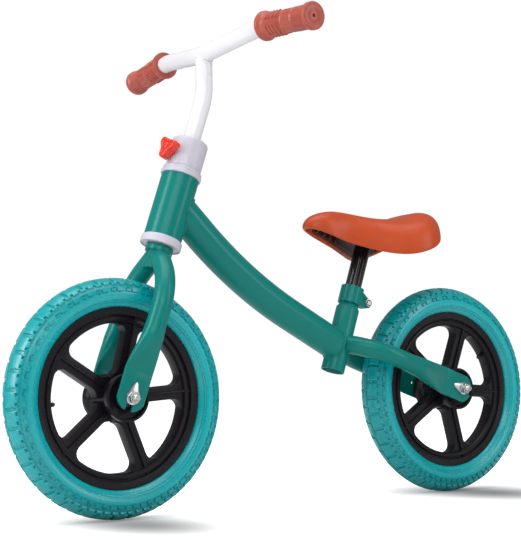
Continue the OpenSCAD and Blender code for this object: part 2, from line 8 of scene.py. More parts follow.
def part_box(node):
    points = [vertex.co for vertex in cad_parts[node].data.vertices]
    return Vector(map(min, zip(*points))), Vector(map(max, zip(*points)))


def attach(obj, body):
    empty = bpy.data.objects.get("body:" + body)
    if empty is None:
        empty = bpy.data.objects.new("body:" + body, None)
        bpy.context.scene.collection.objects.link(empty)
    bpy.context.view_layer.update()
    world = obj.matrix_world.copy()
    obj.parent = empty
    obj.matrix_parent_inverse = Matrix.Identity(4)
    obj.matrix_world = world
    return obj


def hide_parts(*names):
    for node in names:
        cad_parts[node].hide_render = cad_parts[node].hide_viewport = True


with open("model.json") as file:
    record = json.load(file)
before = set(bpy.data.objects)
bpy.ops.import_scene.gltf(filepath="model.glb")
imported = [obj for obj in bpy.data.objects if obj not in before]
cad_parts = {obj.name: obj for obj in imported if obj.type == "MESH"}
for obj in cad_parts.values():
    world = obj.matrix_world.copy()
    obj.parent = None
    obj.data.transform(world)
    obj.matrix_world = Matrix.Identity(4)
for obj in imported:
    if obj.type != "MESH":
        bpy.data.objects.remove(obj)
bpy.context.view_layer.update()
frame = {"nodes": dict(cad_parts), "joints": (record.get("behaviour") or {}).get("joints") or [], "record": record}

mm = 0.001
nodes = frame["nodes"]
joints = {joint["name"]: joint for joint in frame["joints"]}


# where things are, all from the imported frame
def middleOf(node):
    low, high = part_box(node)
    return (low + high) / 2


frontAxle = middleOf("front_axle")
rearAxle = middleOf("rear_axle")
steerAxis = Vector(joints["steering"]["axis"]).normalized()
postAxis = Vector(joints["seat_height"]["axis"]).normalized()
knobAxis = Vector(joints["clamp_knob_turn"]["axis"]).normalized()
knobRoot = Vector(joints["clamp_knob_turn"]["pos_m"])
postPoint = middleOf("seat_post")


def standing(origin, up, forward=Vector((1, 0, 0))):  # local Z along up, local X roughly forward
    z = up.normalized()
    y = z.cross(forward).normalized()
    x = y.cross(z)
    return Matrix.Translation(origin) @ Matrix((x, y, z)).transposed().to_4x4()


headPlace = standing(frontAxle, steerAxis)


def alongHead(point):  # distance up the steering axis, in mm from the front axle
    return (point - frontAxle).dot(steerAxis) / mm


def headSpan(node):  # lowest and highest station of a node on the steering axis, in mm
    spots = [alongHead(v.co) for v in nodes[node].data.vertices]
    return min(spots), max(spots)


# colour management
scene = bpy.context.scene
scene.view_settings.view_transform = "Standard"
scene.view_settings.look = "None"


# shared effects as node groups
def newGroup(name, inputs, outputs):
    group = bpy.data.node_groups.new(name, "ShaderNodeTree")
    for label, kind, value in inputs:
        socket = group.interface.new_socket(name=label, in_out="INPUT", socket_type=kind)
        if value is not None:
            socket.default_value = value
    for label, kind in outputs:
        group.interface.new_socket(name=label, in_out="OUTPUT", socket_type=kind)
    return group, group.nodes.new("NodeGroupInput"), group.nodes.new("NodeGroupOutput")


def node(tree, kind, **settings):
    made = tree.nodes.new(kind)
    for key, value in settings.items():
        if key in ("operation", "blend_type", "data_type", "noise_dimensions", "feature",
                   "wave_type", "bands_direction", "distance", "vector_type", "clamp",
                   "wave_profile"):
            setattr(made, key, value)
        else:
            made.inputs[key.replace("_", " ")].default_value = value
    return made


def unevenColourGroup():  # slow and quick drift of a colour's lightness
    group, start, end = newGroup("unevenColour",
        [("Vector", "NodeSocketVector", None), ("Color", "NodeSocketColor", (0.5, 0.5, 0.5, 1)),
         ("Scale", "NodeSocketFloat", 30.0), ("Amount", "NodeSocketFloat", 0.1)],
        [("Color", "NodeSocketColor")])
    link = group.links.new
    slow = node(group, "ShaderNodeTexNoise", Detail=3.0, Roughness=0.55)
    link(start.outputs["Vector"], slow.inputs["Vector"])
    link(start.outputs["Scale"], slow.inputs["Scale"])
    spread = node(group, "ShaderNodeMath", operation="SUBTRACT")
    spread.inputs[1].default_value = 0.5
    link(slow.outputs["Fac"], spread.inputs[0])
    sized = node(group, "ShaderNodeMath", operation="MULTIPLY")
    link(spread.outputs[0], sized.inputs[0])
    link(start.outputs["Amount"], sized.inputs[1])
    around = node(group, "ShaderNodeMath", operation="ADD")
    around.inputs[1].default_value = 1.0
    link(sized.outputs[0], around.inputs[0])
    tint = group.nodes.new("ShaderNodeHueSaturation")
    link(start.outputs["Color"], tint.inputs["Color"])
    link(around.outputs[0], tint.inputs["Value"])
    link(tint.outputs["Color"], end.inputs["Color"])
    return group


def unevenGlossGroup():  # handling marks and dust, read as changes of roughness
    group, start, end = newGroup("unevenGloss",
        [("Vector", "NodeSocketVector", None), ("Scale", "NodeSocketFloat", 40.0),
         ("Polished", "NodeSocketFloat", 0.2), ("Dull", "NodeSocketFloat", 0.35)],
        [("Roughness", "NodeSocketFloat")])
    link = group.links.new
    smear = node(group, "ShaderNodeTexNoise", Detail=5.0, Roughness=0.6, Distortion=0.6)
    link(start.outputs["Vector"], smear.inputs["Vector"])
    link(start.outputs["Scale"], smear.inputs["Scale"])
    spread = group.nodes.new("ShaderNodeMapRange")
    spread.inputs["From Min"].default_value = 0.3
    spread.inputs["From Max"].default_value = 0.7
    link(smear.outputs["Fac"], spread.inputs["Value"])
    link(start.outputs["Polished"], spread.inputs["To Min"])
    link(start.outputs["Dull"], spread.inputs["To Max"])
    link(spread.outputs["Result"], end.inputs["Roughness"])
    return group


def fineSkinGroup():  # orange peel, moulding texture or foam pores, read as a normal
    group, start, end = newGroup("fineSkin",
        [("Vector", "NodeSocketVector", None), ("Scale", "NodeSocketFloat", 600.0),
         ("Depth", "NodeSocketFloat", 0.1), ("Pores", "NodeSocketFloat", 0.0)],
        [("Normal", "NodeSocketVector"), ("Height", "NodeSocketFloat")])
    link = group.links.new
    peel = node(group, "ShaderNodeTexNoise", Detail=2.0, Roughness=0.5)
    cells = group.nodes.new("ShaderNodeTexVoronoi")
    for texture in (peel, cells):
        link(start.outputs["Vector"], texture.inputs["Vector"])
        link(start.outputs["Scale"], texture.inputs["Scale"])
    blend = group.nodes.new("ShaderNodeMix")
    link(start.outputs["Pores"], blend.inputs["Factor"])
    link(peel.outputs["Fac"], blend.inputs["A"])
    link(cells.outputs["Distance"], blend.inputs["B"])
    bump = group.nodes.new("ShaderNodeBump")
    bump.inputs["Distance"].default_value = 0.0004
    link(start.outputs["Depth"], bump.inputs["Strength"])
    link(blend.outputs["Result"], bump.inputs["Height"])
    link(bump.outputs["Normal"], end.inputs["Normal"])
    link(blend.outputs["Result"], end.inputs["Height"])
    return group


def fineLinesGroup():  # fine lines square to a direction: turning marks, moulded rings
    group, start, end = newGroup("fineLines",
        [("Vector", "NodeSocketVector", None), ("Direction", "NodeSocketVector", (0, 0, 1)),
         ("Per Metre", "NodeSocketFloat", 1000.0)],
        [("Height", "NodeSocketFloat")])
    link = group.links.new
    dot = node(group, "ShaderNodeVectorMath", operation="DOT_PRODUCT")
    link(start.outputs["Vector"], dot.inputs[0])
    link(start.outputs["Direction"], dot.inputs[1])
    many = node(group, "ShaderNodeMath", operation="MULTIPLY")
    link(dot.outputs["Value"], many.inputs[0])
    link(start.outputs["Per Metre"], many.inputs[1])
    turn = node(group, "ShaderNodeMath", operation="MULTIPLY")
    turn.inputs[1].default_value = 2 * math.pi
    link(many.outputs[0], turn.inputs[0])
    wave = node(group, "ShaderNodeMath", operation="SINE")
    link(turn.outputs[0], wave.inputs[0])
    link(wave.outputs[0], end.inputs["Height"])
    return group


def radialMarksGroup():  # marks that run outwards from a wheel's axle between two radii
    group, start, end = newGroup("radialMarks",
        [("Vector", "NodeSocketVector", None), ("Count", "NodeSocketFloat", 240.0),
         ("Inner", "NodeSocketFloat", 0.1), ("Outer", "NodeSocketFloat", 0.109)],
        [("Height", "NodeSocketFloat"), ("Mask", "NodeSocketFloat")])
    link = group.links.new
    parts = group.nodes.new("ShaderNodeSeparateXYZ")
    link(start.outputs["Vector"], parts.inputs[0])
    angle = node(group, "ShaderNodeMath", operation="ARCTAN2")
    link(parts.outputs["X"], angle.inputs[0])
    link(parts.outputs["Z"], angle.inputs[1])
    flat = group.nodes.new("ShaderNodeCombineXYZ")
    link(parts.outputs["X"], flat.inputs["X"])
    link(parts.outputs["Z"], flat.inputs["Z"])
    far = node(group, "ShaderNodeVectorMath", operation="LENGTH")
    link(flat.outputs[0], far.inputs[0])
    many = node(group, "ShaderNodeMath", operation="MULTIPLY")
    link(angle.outputs[0], many.inputs[0])
    link(start.outputs["Count"], many.inputs[1])
    wave = node(group, "ShaderNodeMath", operation="SINE")
    link(many.outputs[0], wave.inputs[0])
    above = node(group, "ShaderNodeMath", operation="GREATER_THAN")
    link(far.outputs["Value"], above.inputs[0])
    link(start.outputs["Inner"], above.inputs[1])
    below = node(group, "ShaderNodeMath", operation="LESS_THAN")
    link(far.outputs["Value"], below.inputs[0])
    link(start.outputs["Outer"], below.inputs[1])
    mask = node(group, "ShaderNodeMath", operation="MULTIPLY")
    link(above.outputs[0], mask.inputs[0])
    link(below.outputs[0], mask.inputs[1])
    height = node(group, "ShaderNodeMath", operation="MULTIPLY")
    link(wave.outputs[0], height.inputs[0])
    link(mask.outputs[0], height.inputs[1])
    link(height.outputs[0], end.inputs["Height"])
    link(mask.outputs[0], end.inputs["Mask"])
    return group


unevenColour = unevenColourGroup()
unevenGloss = unevenGlossGroup()
fineSkin = fineSkinGroup()
fineLines = fineLinesGroup()
radialMarks = radialMarksGroup()


# finishes
def placed(tree, group, **values):
    made = tree.nodes.new("ShaderNodeGroup")
    made.node_tree = group
    for key, value in values.items():
        made.inputs[key.replace("_", " ")].default_value = value
    return made


def finishOf(name, colour, polished, dull, drift=0.1, driftScale=18.0, skinScale=600.0,
             skinDepth=0.1, pores=0.0, metal=0.0, coat=0.0, coatRoughness=0.08, specular=0.5,
             smearScale=45.0, lines=None, marks=None):
    made = bpy.data.materials.new(name)
    made.use_nodes = True
    tree = made.node_tree
    link = tree.links.new
    shader = tree.nodes["Principled BSDF"]
    shader.inputs["Metallic"].default_value = metal
    shader.inputs["Coat Weight"].default_value = coat
    shader.inputs["Coat Roughness"].default_value = coatRoughness
    shader.inputs["Specular IOR Level"].default_value = specular
    place = tree.nodes.new("ShaderNodeTexCoord")
    where = place.outputs["Object"]
    if marks:  # the pattern is centred on the wheel's axle
        centred = tree.nodes.new("ShaderNodeMapping")
        centred.inputs["Location"].default_value = -marks["centre"]
        link(where, centred.inputs["Vector"])
        where = centred.outputs["Vector"]
    tint = placed(tree, unevenColour, Color=(*colour, 1), Scale=driftScale, Amount=drift)
    gloss = placed(tree, unevenGloss, Scale=smearScale, Polished=polished, Dull=dull)
    skin = placed(tree, fineSkin, Scale=skinScale, Depth=skinDepth, Pores=pores)
    for used in (tint, gloss, skin):
        link(where, used.inputs["Vector"])
    link(tint.outputs["Color"], shader.inputs["Base Color"])
    link(gloss.outputs["Roughness"], shader.inputs["Roughness"])
    normal = skin.outputs["Normal"]
    extra = None
    if lines:
        extra = placed(tree, fineLines, Direction=lines["direction"], Per_Metre=lines["perMetre"])
    if marks:
        extra = placed(tree, radialMarks, Count=marks["count"], Inner=marks["inner"],
                       Outer=marks["outer"])
    if extra:
        link(where, extra.inputs["Vector"])
        bump = tree.nodes.new("ShaderNodeBump")
        bump.inputs["Strength"].default_value = (lines or marks)["strength"]
        bump.inputs["Distance"].default_value = 0.0003
        link(extra.outputs["Height"], bump.inputs["Height"])
        link(normal, bump.inputs["Normal"])
        normal = bump.outputs["Normal"]
    link(normal, shader.inputs["Normal"])
    return made


framePaint = finishOf("framePaint", (0.0, 0.212, 0.184), 0.27, 0.33, drift=0.06, driftScale=9.0,
                      coat=0.08, skinScale=260.0, skinDepth=0.03, coatRoughness=0.12,
                      smearScale=9.0, specular=0.22)
barPaint = finishOf("barPaint", (0.86, 0.855, 0.90), 0.27, 0.31, drift=0.02, coat=0.2,
                    skinScale=260.0, skinDepth=0.02, smearScale=6.0)
postPaint = finishOf("postPaint", (0.010, 0.007, 0.009), 0.2, 0.26, drift=0.2, coat=0.5,
                     skinScale=260.0, skinDepth=0.03, smearScale=14.0)
zincPlate = finishOf("zincPlate", (0.66, 0.66, 0.67), 0.18, 0.36, drift=0.25, driftScale=120.0,
                     skinScale=900.0, skinDepth=0.08, metal=1.0)
chromePlate = finishOf("chromePlate", (0.75, 0.75, 0.77), 0.08, 0.2, drift=0.12, metal=1.0,
                       driftScale=150.0, skinScale=900.0, skinDepth=0.04)
tyreFoam = finishOf("tyreFoam", (0.0, 0.44, 0.475), 0.22, 0.33, drift=0.16, driftScale=26.0,
                    skinScale=900.0, skinDepth=0.2, pores=0.3, smearScale=60.0, coat=0.2,
                    coatRoughness=0.2)
tree = tyreFoam.node_tree  # painted shade: the floors of the grooves are darkened, standing in for the shade that falls in them
shader = tree.nodes["Principled BSDF"]
evenTone = shader.inputs["Base Color"].links[0].from_socket
raised = tree.nodes.new("ShaderNodeAttribute")
raised.attribute_name = "raised"
depth = node(tree, "ShaderNodeMapRange", To_Min=0.82, To_Max=1.0)
tree.links.new(raised.outputs["Fac"], depth.inputs["Value"])
grooveShade = node(tree, "ShaderNodeMix", data_type="RGBA", blend_type="MULTIPLY")
grooveShade.inputs["Factor"].default_value = 1.0
tree.links.new(evenTone, grooveShade.inputs["A"])
tree.links.new(depth.outputs["Result"], grooveShade.inputs["B"])
tree.links.new(grooveShade.outputs["Result"], shader.inputs["Base Color"])
blackPlastic = finishOf("blackPlastic", (0.014, 0.012, 0.015), 0.3, 0.5, drift=0.3,
                        skinScale=1200.0, skinDepth=0.15)
lilacPlastic = finishOf("lilacPlastic", (0.61, 0.59, 0.68), 0.3, 0.44, drift=0.05,
                        skinScale=1100.0, skinDepth=0.10)
knobPlastic = finishOf("knobPlastic", (0.83, 0.035, 0.012), 0.16, 0.3, drift=0.08, coat=0.3,
                       skinScale=900.0, skinDepth=0.06)
gripRubber = finishOf("gripRubber", (0.45, 0.088, 0.058), 0.26, 0.42, drift=0.16,
                      driftScale=70.0, skinScale=1500.0, skinDepth=0.3, pores=0.3)
shellPlastic = finishOf("shellPlastic", (0.06, 0.010, 0.007), 0.4, 0.6, drift=0.3,
                        skinScale=700.0, skinDepth=0.25)
# painted shade: a near-black finish for the disc set inside the stem's vent hole, in place of the shade there
holeShade = finishOf("holeShade", (0.02, 0.03, 0.03), 0.5, 0.8, drift=0.4, skinScale=500.0,
                      skinDepth=0.3)


def rimPlastic(name, centre):
    return finishOf(name, (0.0105, 0.0085, 0.012), 0.26, 0.38, drift=0.35, driftScale=30.0,
                    specular=0.2, skinScale=1300.0, skinDepth=0.14,
                    marks={"centre": centre, "count": 230.0, "inner": 0.1003, "outer": 0.1085,
                           "strength": 0.55})


frontRimPlastic = rimPlastic("frontRimPlastic", frontAxle)
rearRimPlastic = rimPlastic("rearRimPlastic", rearAxle)


def saddleLeather():  # smooth leatherette: tight grain, a slow, faint unevenness, and painted shade in its soft creases
    made = bpy.data.materials.new("saddleLeather")
    made.use_nodes = True
    tree = made.node_tree
    link = tree.links.new
    shader = tree.nodes["Principled BSDF"]
    shader.inputs["Specular IOR Level"].default_value = 0.32
    shader.inputs["Coat Weight"].default_value = 0.12
    shader.inputs["Coat Roughness"].default_value = 0.3
    where = tree.nodes.new("ShaderNodeTexCoord").outputs["Object"]
    tint = placed(tree, unevenColour, Color=(0.55, 0.067, 0.011, 1), Scale=16.0, Amount=0.09)
    gloss = placed(tree, unevenGloss, Scale=30.0, Polished=0.32, Dull=0.4)
    skin = placed(tree, fineSkin, Scale=1500.0, Depth=0.2, Pores=0.8)
    for used in (tint, gloss, skin):
        link(where, used.inputs["Vector"])
    crease = node(tree, "ShaderNodeTexNoise", Scale=34.0, Detail=4.0, Distortion=1.2)
    link(where, crease.inputs["Vector"])
    # painted shade: the colour darkens a little in the valleys of the soft crease bump
    creaseShade = tree.nodes.new("ShaderNodeMapRange")
    creaseShade.inputs["From Min"].default_value = 0.3
    creaseShade.inputs["From Max"].default_value = 0.5
    creaseShade.inputs["To Min"].default_value = 0.965
    creaseShade.inputs["To Max"].default_value = 1.0
    link(crease.outputs["Fac"], creaseShade.inputs["Value"])
    shade = node(tree, "ShaderNodeMix", data_type="RGBA", blend_type="MULTIPLY")
    shade.inputs["Factor"].default_value = 1.0
    link(tint.outputs["Color"], shade.inputs["A"])
    link(creaseShade.outputs["Result"], shade.inputs["B"])
    link(shade.outputs["Result"], shader.inputs["Base Color"])
    link(gloss.outputs["Roughness"], shader.inputs["Roughness"])
    soft = tree.nodes.new("ShaderNodeBump")
    soft.inputs["Strength"].default_value = 0.04
    soft.inputs["Distance"].default_value = 0.001
    link(crease.outputs["Fac"], soft.inputs["Height"])
    link(skin.outputs["Normal"], soft.inputs["Normal"])
    link(soft.outputs["Normal"], shader.inputs["Normal"])
    return made


saddleSkin = saddleLeather()
print("finishes made")


# helpers for pieces
def finished(bm, name, material, body, replaced=(), sharp=38):
    bmesh.ops.remove_doubles(bm, verts=bm.verts, dist=1e-6)
    bmesh.ops.recalc_face_normals(bm, faces=bm.faces)
    mesh = bpy.data.meshes.new(name)
    bm.to_mesh(mesh)
    bm.free()
    return shown(mesh, name, material, body, replaced, sharp)


def shown(mesh, name, material, body, replaced=(), sharp=38):
    mesh.materials.clear()
    mesh.materials.append(material)
    mesh.shade_smooth()
    mesh.set_sharp_from_angle(angle=math.radians(sharp))
    piece = bpy.data.objects.new(name, mesh)
    scene.collection.objects.link(piece)
    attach(piece, body)
    if replaced:
        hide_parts(*replaced)
    return piece


def spunProfile(bm, points, matrix=Matrix.Identity(4), steps=96, closed=True):
    # points are (radius, height) in mm, spun about local Z
    made = [bm.verts.new((r * mm, 0, h * mm)) for r, h in points]
    edges = [bm.edges.new((a, b)) for a, b in zip(made, made[1:])]
    if closed:
        edges.append(bm.edges.new((made[-1], made[0])))
    before = set(bm.verts) - set(made)
    bmesh.ops.spin(bm, geom=made + edges, cent=(0, 0, 0), axis=(0, 0, 1), dvec=(0, 0, 0),
                   angle=2 * math.pi, steps=steps, use_merge=True, use_duplicate=False)
    new = [v for v in bm.verts if v not in before]
    bmesh.ops.remove_doubles(bm, verts=new, dist=1e-6)
    new = [v for v in bm.verts if v not in before]
    bmesh.ops.transform(bm, matrix=matrix, verts=new)
    return new


def joinInto(bm, part, matrix=Matrix.Identity(4)):  # adds a part to a piece and lets go of it
    bmesh.ops.transform(part, matrix=matrix, verts=part.verts)
    holder = bpy.data.meshes.new("part")
    part.to_mesh(holder)
    part.free()
    bm.from_mesh(holder)
    bpy.data.meshes.remove(holder)


def sideways(centre):  # local Z runs along the axle
    return Matrix.Translation(centre) @ Matrix.Rotation(-math.pi / 2, 4, "X")


def ringedTube(bm, rings, sides, place, capped=True):
    # a plain tube of rings, then every vertex is put where place(ring, angle) says
    before = set(bm.verts)
    bmesh.ops.create_circle(bm, cap_ends=False, radius=1.0, segments=sides)
    first = [v for v in bm.verts if v not in before]
    inFirst = set(first)
    edges = list({e for v in first for e in v.link_edges})
    ringOf = {v: 0 for v in first}
    for ring in range(1, rings):
        grown = bmesh.ops.extrude_edge_only(bm, edges=edges)["geom"]
        verts = [g for g in grown if isinstance(g, bmesh.types.BMVert)]
        bmesh.ops.translate(bm, vec=(0, 0, 1), verts=verts)
        fresh = set(verts)
        for v in verts:
            ringOf[v] = ring
        edges = [g for g in grown if isinstance(g, bmesh.types.BMEdge)
                 and g.verts[0] in fresh and g.verts[1] in fresh]
    if capped:
        bmesh.ops.contextual_create(bm, geom=edges)
        bmesh.ops.contextual_create(bm, geom=list({e for v in inFirst for e in v.link_edges
                                                   if e.other_vert(v) in inFirst}))
    for v, ring in ringOf.items():
        v.co = place(ring, math.atan2(v.co.y, v.co.x) % (2 * math.pi))
    return list(ringOf)


def beadAlong(name, spots, width, body, replaced=(), material=framePaint,
              cyclic=True, ripple=0.16):
    # a weld bead: a round string whose thickness ripples along its way
    curve = bpy.data.curves.new(name + "Path", "CURVE")
    curve.dimensions = "3D"
    curve.bevel_depth = width * mm / 2
    curve.bevel_resolution = 3
    spline = curve.splines.new("POLY")
    spline.points.add(len(spots) - 1)
    for i, spot in enumerate(spots):
        spline.points[i].co = (*spot, 1)
        spline.points[i].radius = 1 + ripple * math.sin(i * 1.9) + 0.08 * noise.noise(spot * 300)
    spline.use_cyclic_u = cyclic
    holder = bpy.data.objects.new(name + "Path", curve)
    scene.collection.objects.link(holder)
    bpy.context.view_layer.update()
    made = bpy.data.meshes.new_from_object(
        holder.evaluated_get(bpy.context.evaluated_depsgraph_get()))
    bpy.data.objects.remove(holder)
    bm = bmesh.new()
    bm.from_mesh(made)
    return finished(bm, name, material, body, replaced, sharp=80)


def refined(cadName, material, body, width=0.5, sharp=35, segments=2):
    # a merged copy of a CAD piece, with softly broken edges
    bm = bmesh.new()
    bm.from_mesh(nodes[cadName].data)
    bmesh.ops.remove_doubles(bm, verts=bm.verts, dist=2e-6)
    bmesh.ops.dissolve_degenerate(bm, edges=bm.edges, dist=1e-6)
    mesh = bpy.data.meshes.new(cadName + "_shown")
    bm.to_mesh(mesh)
    bm.free()
    piece = shown(mesh, cadName + "_shown", material, body, (cadName,), sharp)
    if width:
        edge = piece.modifiers.new("brokenEdge", "BEVEL")
        edge.width = width * mm
        edge.segments = segments
        edge.limit_method = "ANGLE"
        edge.angle_limit = math.radians(sharp)
        edge.harden_normals = True
    return piece


bodyOf = {name: body for body, members in frame["record"]["behaviour"]["bodies"].items()
          for name in members}

# tyres
tyre = {
    "steps": 320,          # faces round the tyre, eight to each repeat of the tread
    "repeat": 8,
    "bigBlock": (0.9, 14.5), "shoulderBlock": (15.0, 17.4),
    "blockHigh": 1.75, "crown": 0.7, "lugHigh": 1.9, "edge": 0.45,
    "treadFrom": 133.0, "lugBand": (127.2, 132.0), "lugSide": 19.0, "notchFrom": 129.4,
    "grooveFrom": 126.6,
    "half": [(103.15, 0.0), (103.15, 11.3), (109.35, 11.3), (109.35, 14.0), (110.4, 15.3),
             (111.9, 16.7), (113.6, 18.0), (114.9, 18.8), (115.2, 19.7), (115.9, 20.0),
             (116.3, 19.6), (117.3, 20.1), (117.7, 21.1), (118.5, 21.3), (118.9, 20.8),
             (120.6, 21.2), (123.4, 21.8), (125.8, 21.7), (127.2, 20.9), (129.6, 20.2),
             (131.8, 19.4), (132.8, 18.9), (134.6, 17.7), (136.9, 14.8), (138.8, 11.8),
             (139.2, 11.0), (140.4, 8.3), (141.4, 5.8), (142.0, 3.4), (142.3, 0.8), (142.35, 0.0)]}


def makeTyre(name, centre, body, cadName):
    bm = bmesh.new()
    half = tyre["half"]
    loop = half + [(r, -y) for r, y in half[-2:0:-1]]
    spunProfile(bm, loop, sideways(centre), steps=tyre["steps"])
    bmesh.ops.recalc_face_normals(bm, faces=bm.faces)
    wide = tyre["repeat"]

    def stationOf(face):
        away = face.calc_center_median() - centre
        column = int((math.atan2(away.x, away.z) % (2 * math.pi)) / (2 * math.pi) * tyre["steps"])
        return column, away.y / mm, math.hypot(away.x, away.z) / mm

    blocks, lugs = [], []
    for face in bm.faces:
        column, side, radius = stationOf(face)
        across = abs(side)
        shift = 0 if side > 0 else 4
        beat = (column + shift) % wide
        if radius > tyre["treadFrom"]:
            if tyre["bigBlock"][0] < across < tyre["bigBlock"][1]:
                if beat != 3:
                    blocks.append(face)
            elif tyre["shoulderBlock"][0] < across < tyre["shoulderBlock"][1]:
                if beat not in (1, 5):
                    blocks.append(face)
        elif tyre["lugBand"][0] < radius < tyre["lugBand"][1] and across > tyre["lugSide"]:
            if beat in (0, 1, 2, 4, 5):
                lugs.append(face)
    bmesh.ops.inset_region(bm, faces=blocks, use_boundary=True, use_even_offset=False,
                           thickness=tyre["edge"] * mm, depth=tyre["blockHigh"] * mm)
    bmesh.ops.inset_region(bm, faces=blocks, use_boundary=True, use_even_offset=False,
                           thickness=0.9 * mm, depth=tyre["crown"] * mm)  # rounds the tops
    bmesh.ops.inset_region(bm, faces=lugs, use_boundary=True, use_even_offset=False,
                           thickness=0.3 * mm, depth=tyre["lugHigh"] * mm)
    notches = []  # in every second lug
    for face in lugs:
        column, side, radius = stationOf(face)
        if (column + (0 if side > 0 else 4)) % wide in (4, 5) and radius > tyre["notchFrom"]:
            notches.append(face)
    bmesh.ops.inset_individual(bm, faces=notches, thickness=0.5 * mm, depth=-0.9 * mm)
    raised = {v for face in blocks + lugs for v in face.verts}
    # mask for painted shade: groove floors below the blocks and lugs get 0, and the tyre finish darkens them
    layer = bm.verts.layers.float.new("raised")
    for v in bm.verts:
        radius = math.hypot(v.co.x - centre.x, v.co.z - centre.z) / mm
        v[layer] = 0.0 if radius > tyre["grooveFrom"] and v not in raised else 1.0
    return finished(bm, name, tyreFoam, body, (cadName,), sharp=44)


makeTyre("front_foam_tyre", frontAxle, "front_wheel", "front_tyre")
makeTyre("rear_foam_tyre", rearAxle, "rear_wheel", "rear_tyre")
print("tyres made")

# five-spoke rims
rim = {
    "ring": [(90.0, 8.6), (90.3, 9.2), (91.4, 10.8), (92.0, 11.0), (96.2, 11.0), (96.8, 10.6),
             (97.1, 8.9), (97.5, 8.5), (99.6, 8.5), (99.9, 8.8), (100.0, 11.9), (100.5, 12.3),
             (108.5, 13.7), (109.05, 13.3), (109.05, 12.1), (103.05, 11.6)],
    "hub": [(11.1, 0.0), (11.1, 29.0), (14.6, 29.0), (15.0, 28.6), (15.1, 24.2), (24.6, 25.0),
            (25.4, 26.2), (25.6, 30.5), (26.1, 31.0), (28.4, 31.0), (29.0, 30.4), (29.0, 24.5),
            (28.4, 22.6), (26.6, 19.6), (25.5, 16.5), (25.0, 13.5), (25.0, 0.0)],
    "spokeThick": 8.0, "ribHalf": 1.15, "ribOut": 10.8,
    "outline": [(20.0, 13.0), (26.1, 14.7), (29.55, 8.6), (90.97, 8.6), (86.8, 23.8), (94.6, 25.9)],
    "roundHub": 6.9, "roundRing": 15.4, "edge": 1.3}


def makeRim(name, centre, firstDeg, material, body, cadName):
    bm = bmesh.new()
    place = sideways(centre)
    ring = rim["ring"] + [(r, -y) for r, y in rim["ring"][::-1]]
    spunProfile(bm, ring, place, steps=144)
    hub = rim["hub"] + [(r, -y) for r, y in rim["hub"][-2:0:-1]]
    spunProfile(bm, hub, place, steps=72)
    outline = rim["outline"]
    for spoke in range(5):
        turn = place @ Matrix.Rotation(math.radians(firstDeg + 72 * spoke), 4, "Z")
        part = bmesh.new()
        spots = outline + [(x, -t) for x, t in outline[::-1]]
        verts = [part.verts.new((x * mm, t * mm, -rim["spokeThick"] * mm)) for x, t in spots]
        part.faces.new(verts)
        inner = [v for v in part.verts if abs(abs(v.co.y) - 8.6 * mm) < 1e-6
                 and v.co.x < 40 * mm]
        outer = [v for v in part.verts if abs(abs(v.co.y) - 8.6 * mm) < 1e-6
                 and v.co.x > 60 * mm]
        bmesh.ops.bevel(part, geom=inner, offset=rim["roundHub"] * mm, segments=6,
                        affect="VERTICES", profile=0.5, material=-1)
        bmesh.ops.bevel(part, geom=outer, offset=rim["roundRing"] * mm, segments=9,
                        affect="VERTICES", profile=0.5, material=-1)
        grown = bmesh.ops.extrude_face_region(part, geom=list(part.faces))["geom"]
        bmesh.ops.translate(part, vec=(0, 0, 2 * rim["spokeThick"] * mm),
                            verts=[g for g in grown if isinstance(g, bmesh.types.BMVert)])
        bmesh.ops.recalc_face_normals(part, faces=part.faces)
        rims = [e for e in part.edges if len(e.link_faces) == 2
                and e.calc_face_angle(0) > math.radians(60)]
        bmesh.ops.bevel(part, geom=rims, offset=rim["edge"] * mm, segments=3, affect="EDGES",
                        profile=0.5, material=-1, clamp_overlap=True)
        # the rib along the middle of the spoke, which crosses the groove
        rib = bmesh.ops.create_cube(part, size=1.0)["verts"]
        bmesh.ops.scale(part, vec=(80 * mm, 2 * rim["ribHalf"] * mm, 2 * rim["ribOut"] * mm),
                        verts=rib)
        bmesh.ops.translate(part, vec=(60.4 * mm, 0, 0), verts=rib)
        bmesh.ops.bevel(part, geom=list({e for v in rib for e in v.link_edges}),
                        offset=0.5 * mm, segments=2, affect="EDGES", profile=0.5, material=-1)
        joinInto(bm, part, turn)
    return finished(bm, name, material, body, (cadName,), sharp=34)


# spoke angles run from forward towards down
makeRim("front_spoked_rim", frontAxle, -32, frontRimPlastic, "front_wheel", "front_rim")
makeRim("rear_spoked_rim", rearAxle, -39.7, rearRimPlastic, "rear_wheel", "rear_rim")
print("rims made")

# fork blades and rear stays
blade = {"offset": 46.0, "radius": 12.5, "flatTo": 33.0, "roundAt": 92.0, "bendStart": 113.0,
         "bend": 75.0, "sweep": 45.0, "beyond": 40.0, "plateIn": 35.5, "plateThick": 4.0,
         "plateHalf": 19.0}
stay = {"offset": 47.0, "radius": 12.5, "flatTo": 34.0, "roundAt": 112.0, "bendStart": 126.0,
        "bend": 80.0, "sweep": 55.0, "beyond": 22.0, "plateIn": 35.5, "plateThick": 4.0,
        "plateHalf": 19.0}


def smoothStep(t):
    t = min(1.0, max(0.0, t))
    return t * t * (3 - 2 * t)


def softRamp(t):  # a straight ramp with short rounded ends
    t = min(1.0, max(0.0, t))
    return 0.72 * t + 0.28 * smoothStep(t)


def legPath(leg, along):  # (distance up, sideways, heading) at a length from the axle
    turned = math.radians(leg["sweep"])
    arc = leg["bend"] * turned
    if along <= leg["bendStart"]:
        return along, leg["offset"], 0.0
    if along <= leg["bendStart"] + arc:
        a = (along - leg["bendStart"]) / leg["bend"]
        return (leg["bendStart"] + leg["bend"] * math.sin(a),
                leg["offset"] - leg["bend"] * (1 - math.cos(a)), a)
    rest = along - leg["bendStart"] - arc
    return (leg["bendStart"] + leg["bend"] * math.sin(turned) + rest * math.cos(turned),
            leg["offset"] - leg["bend"] * (1 - math.cos(turned)) - rest * math.sin(turned), turned)


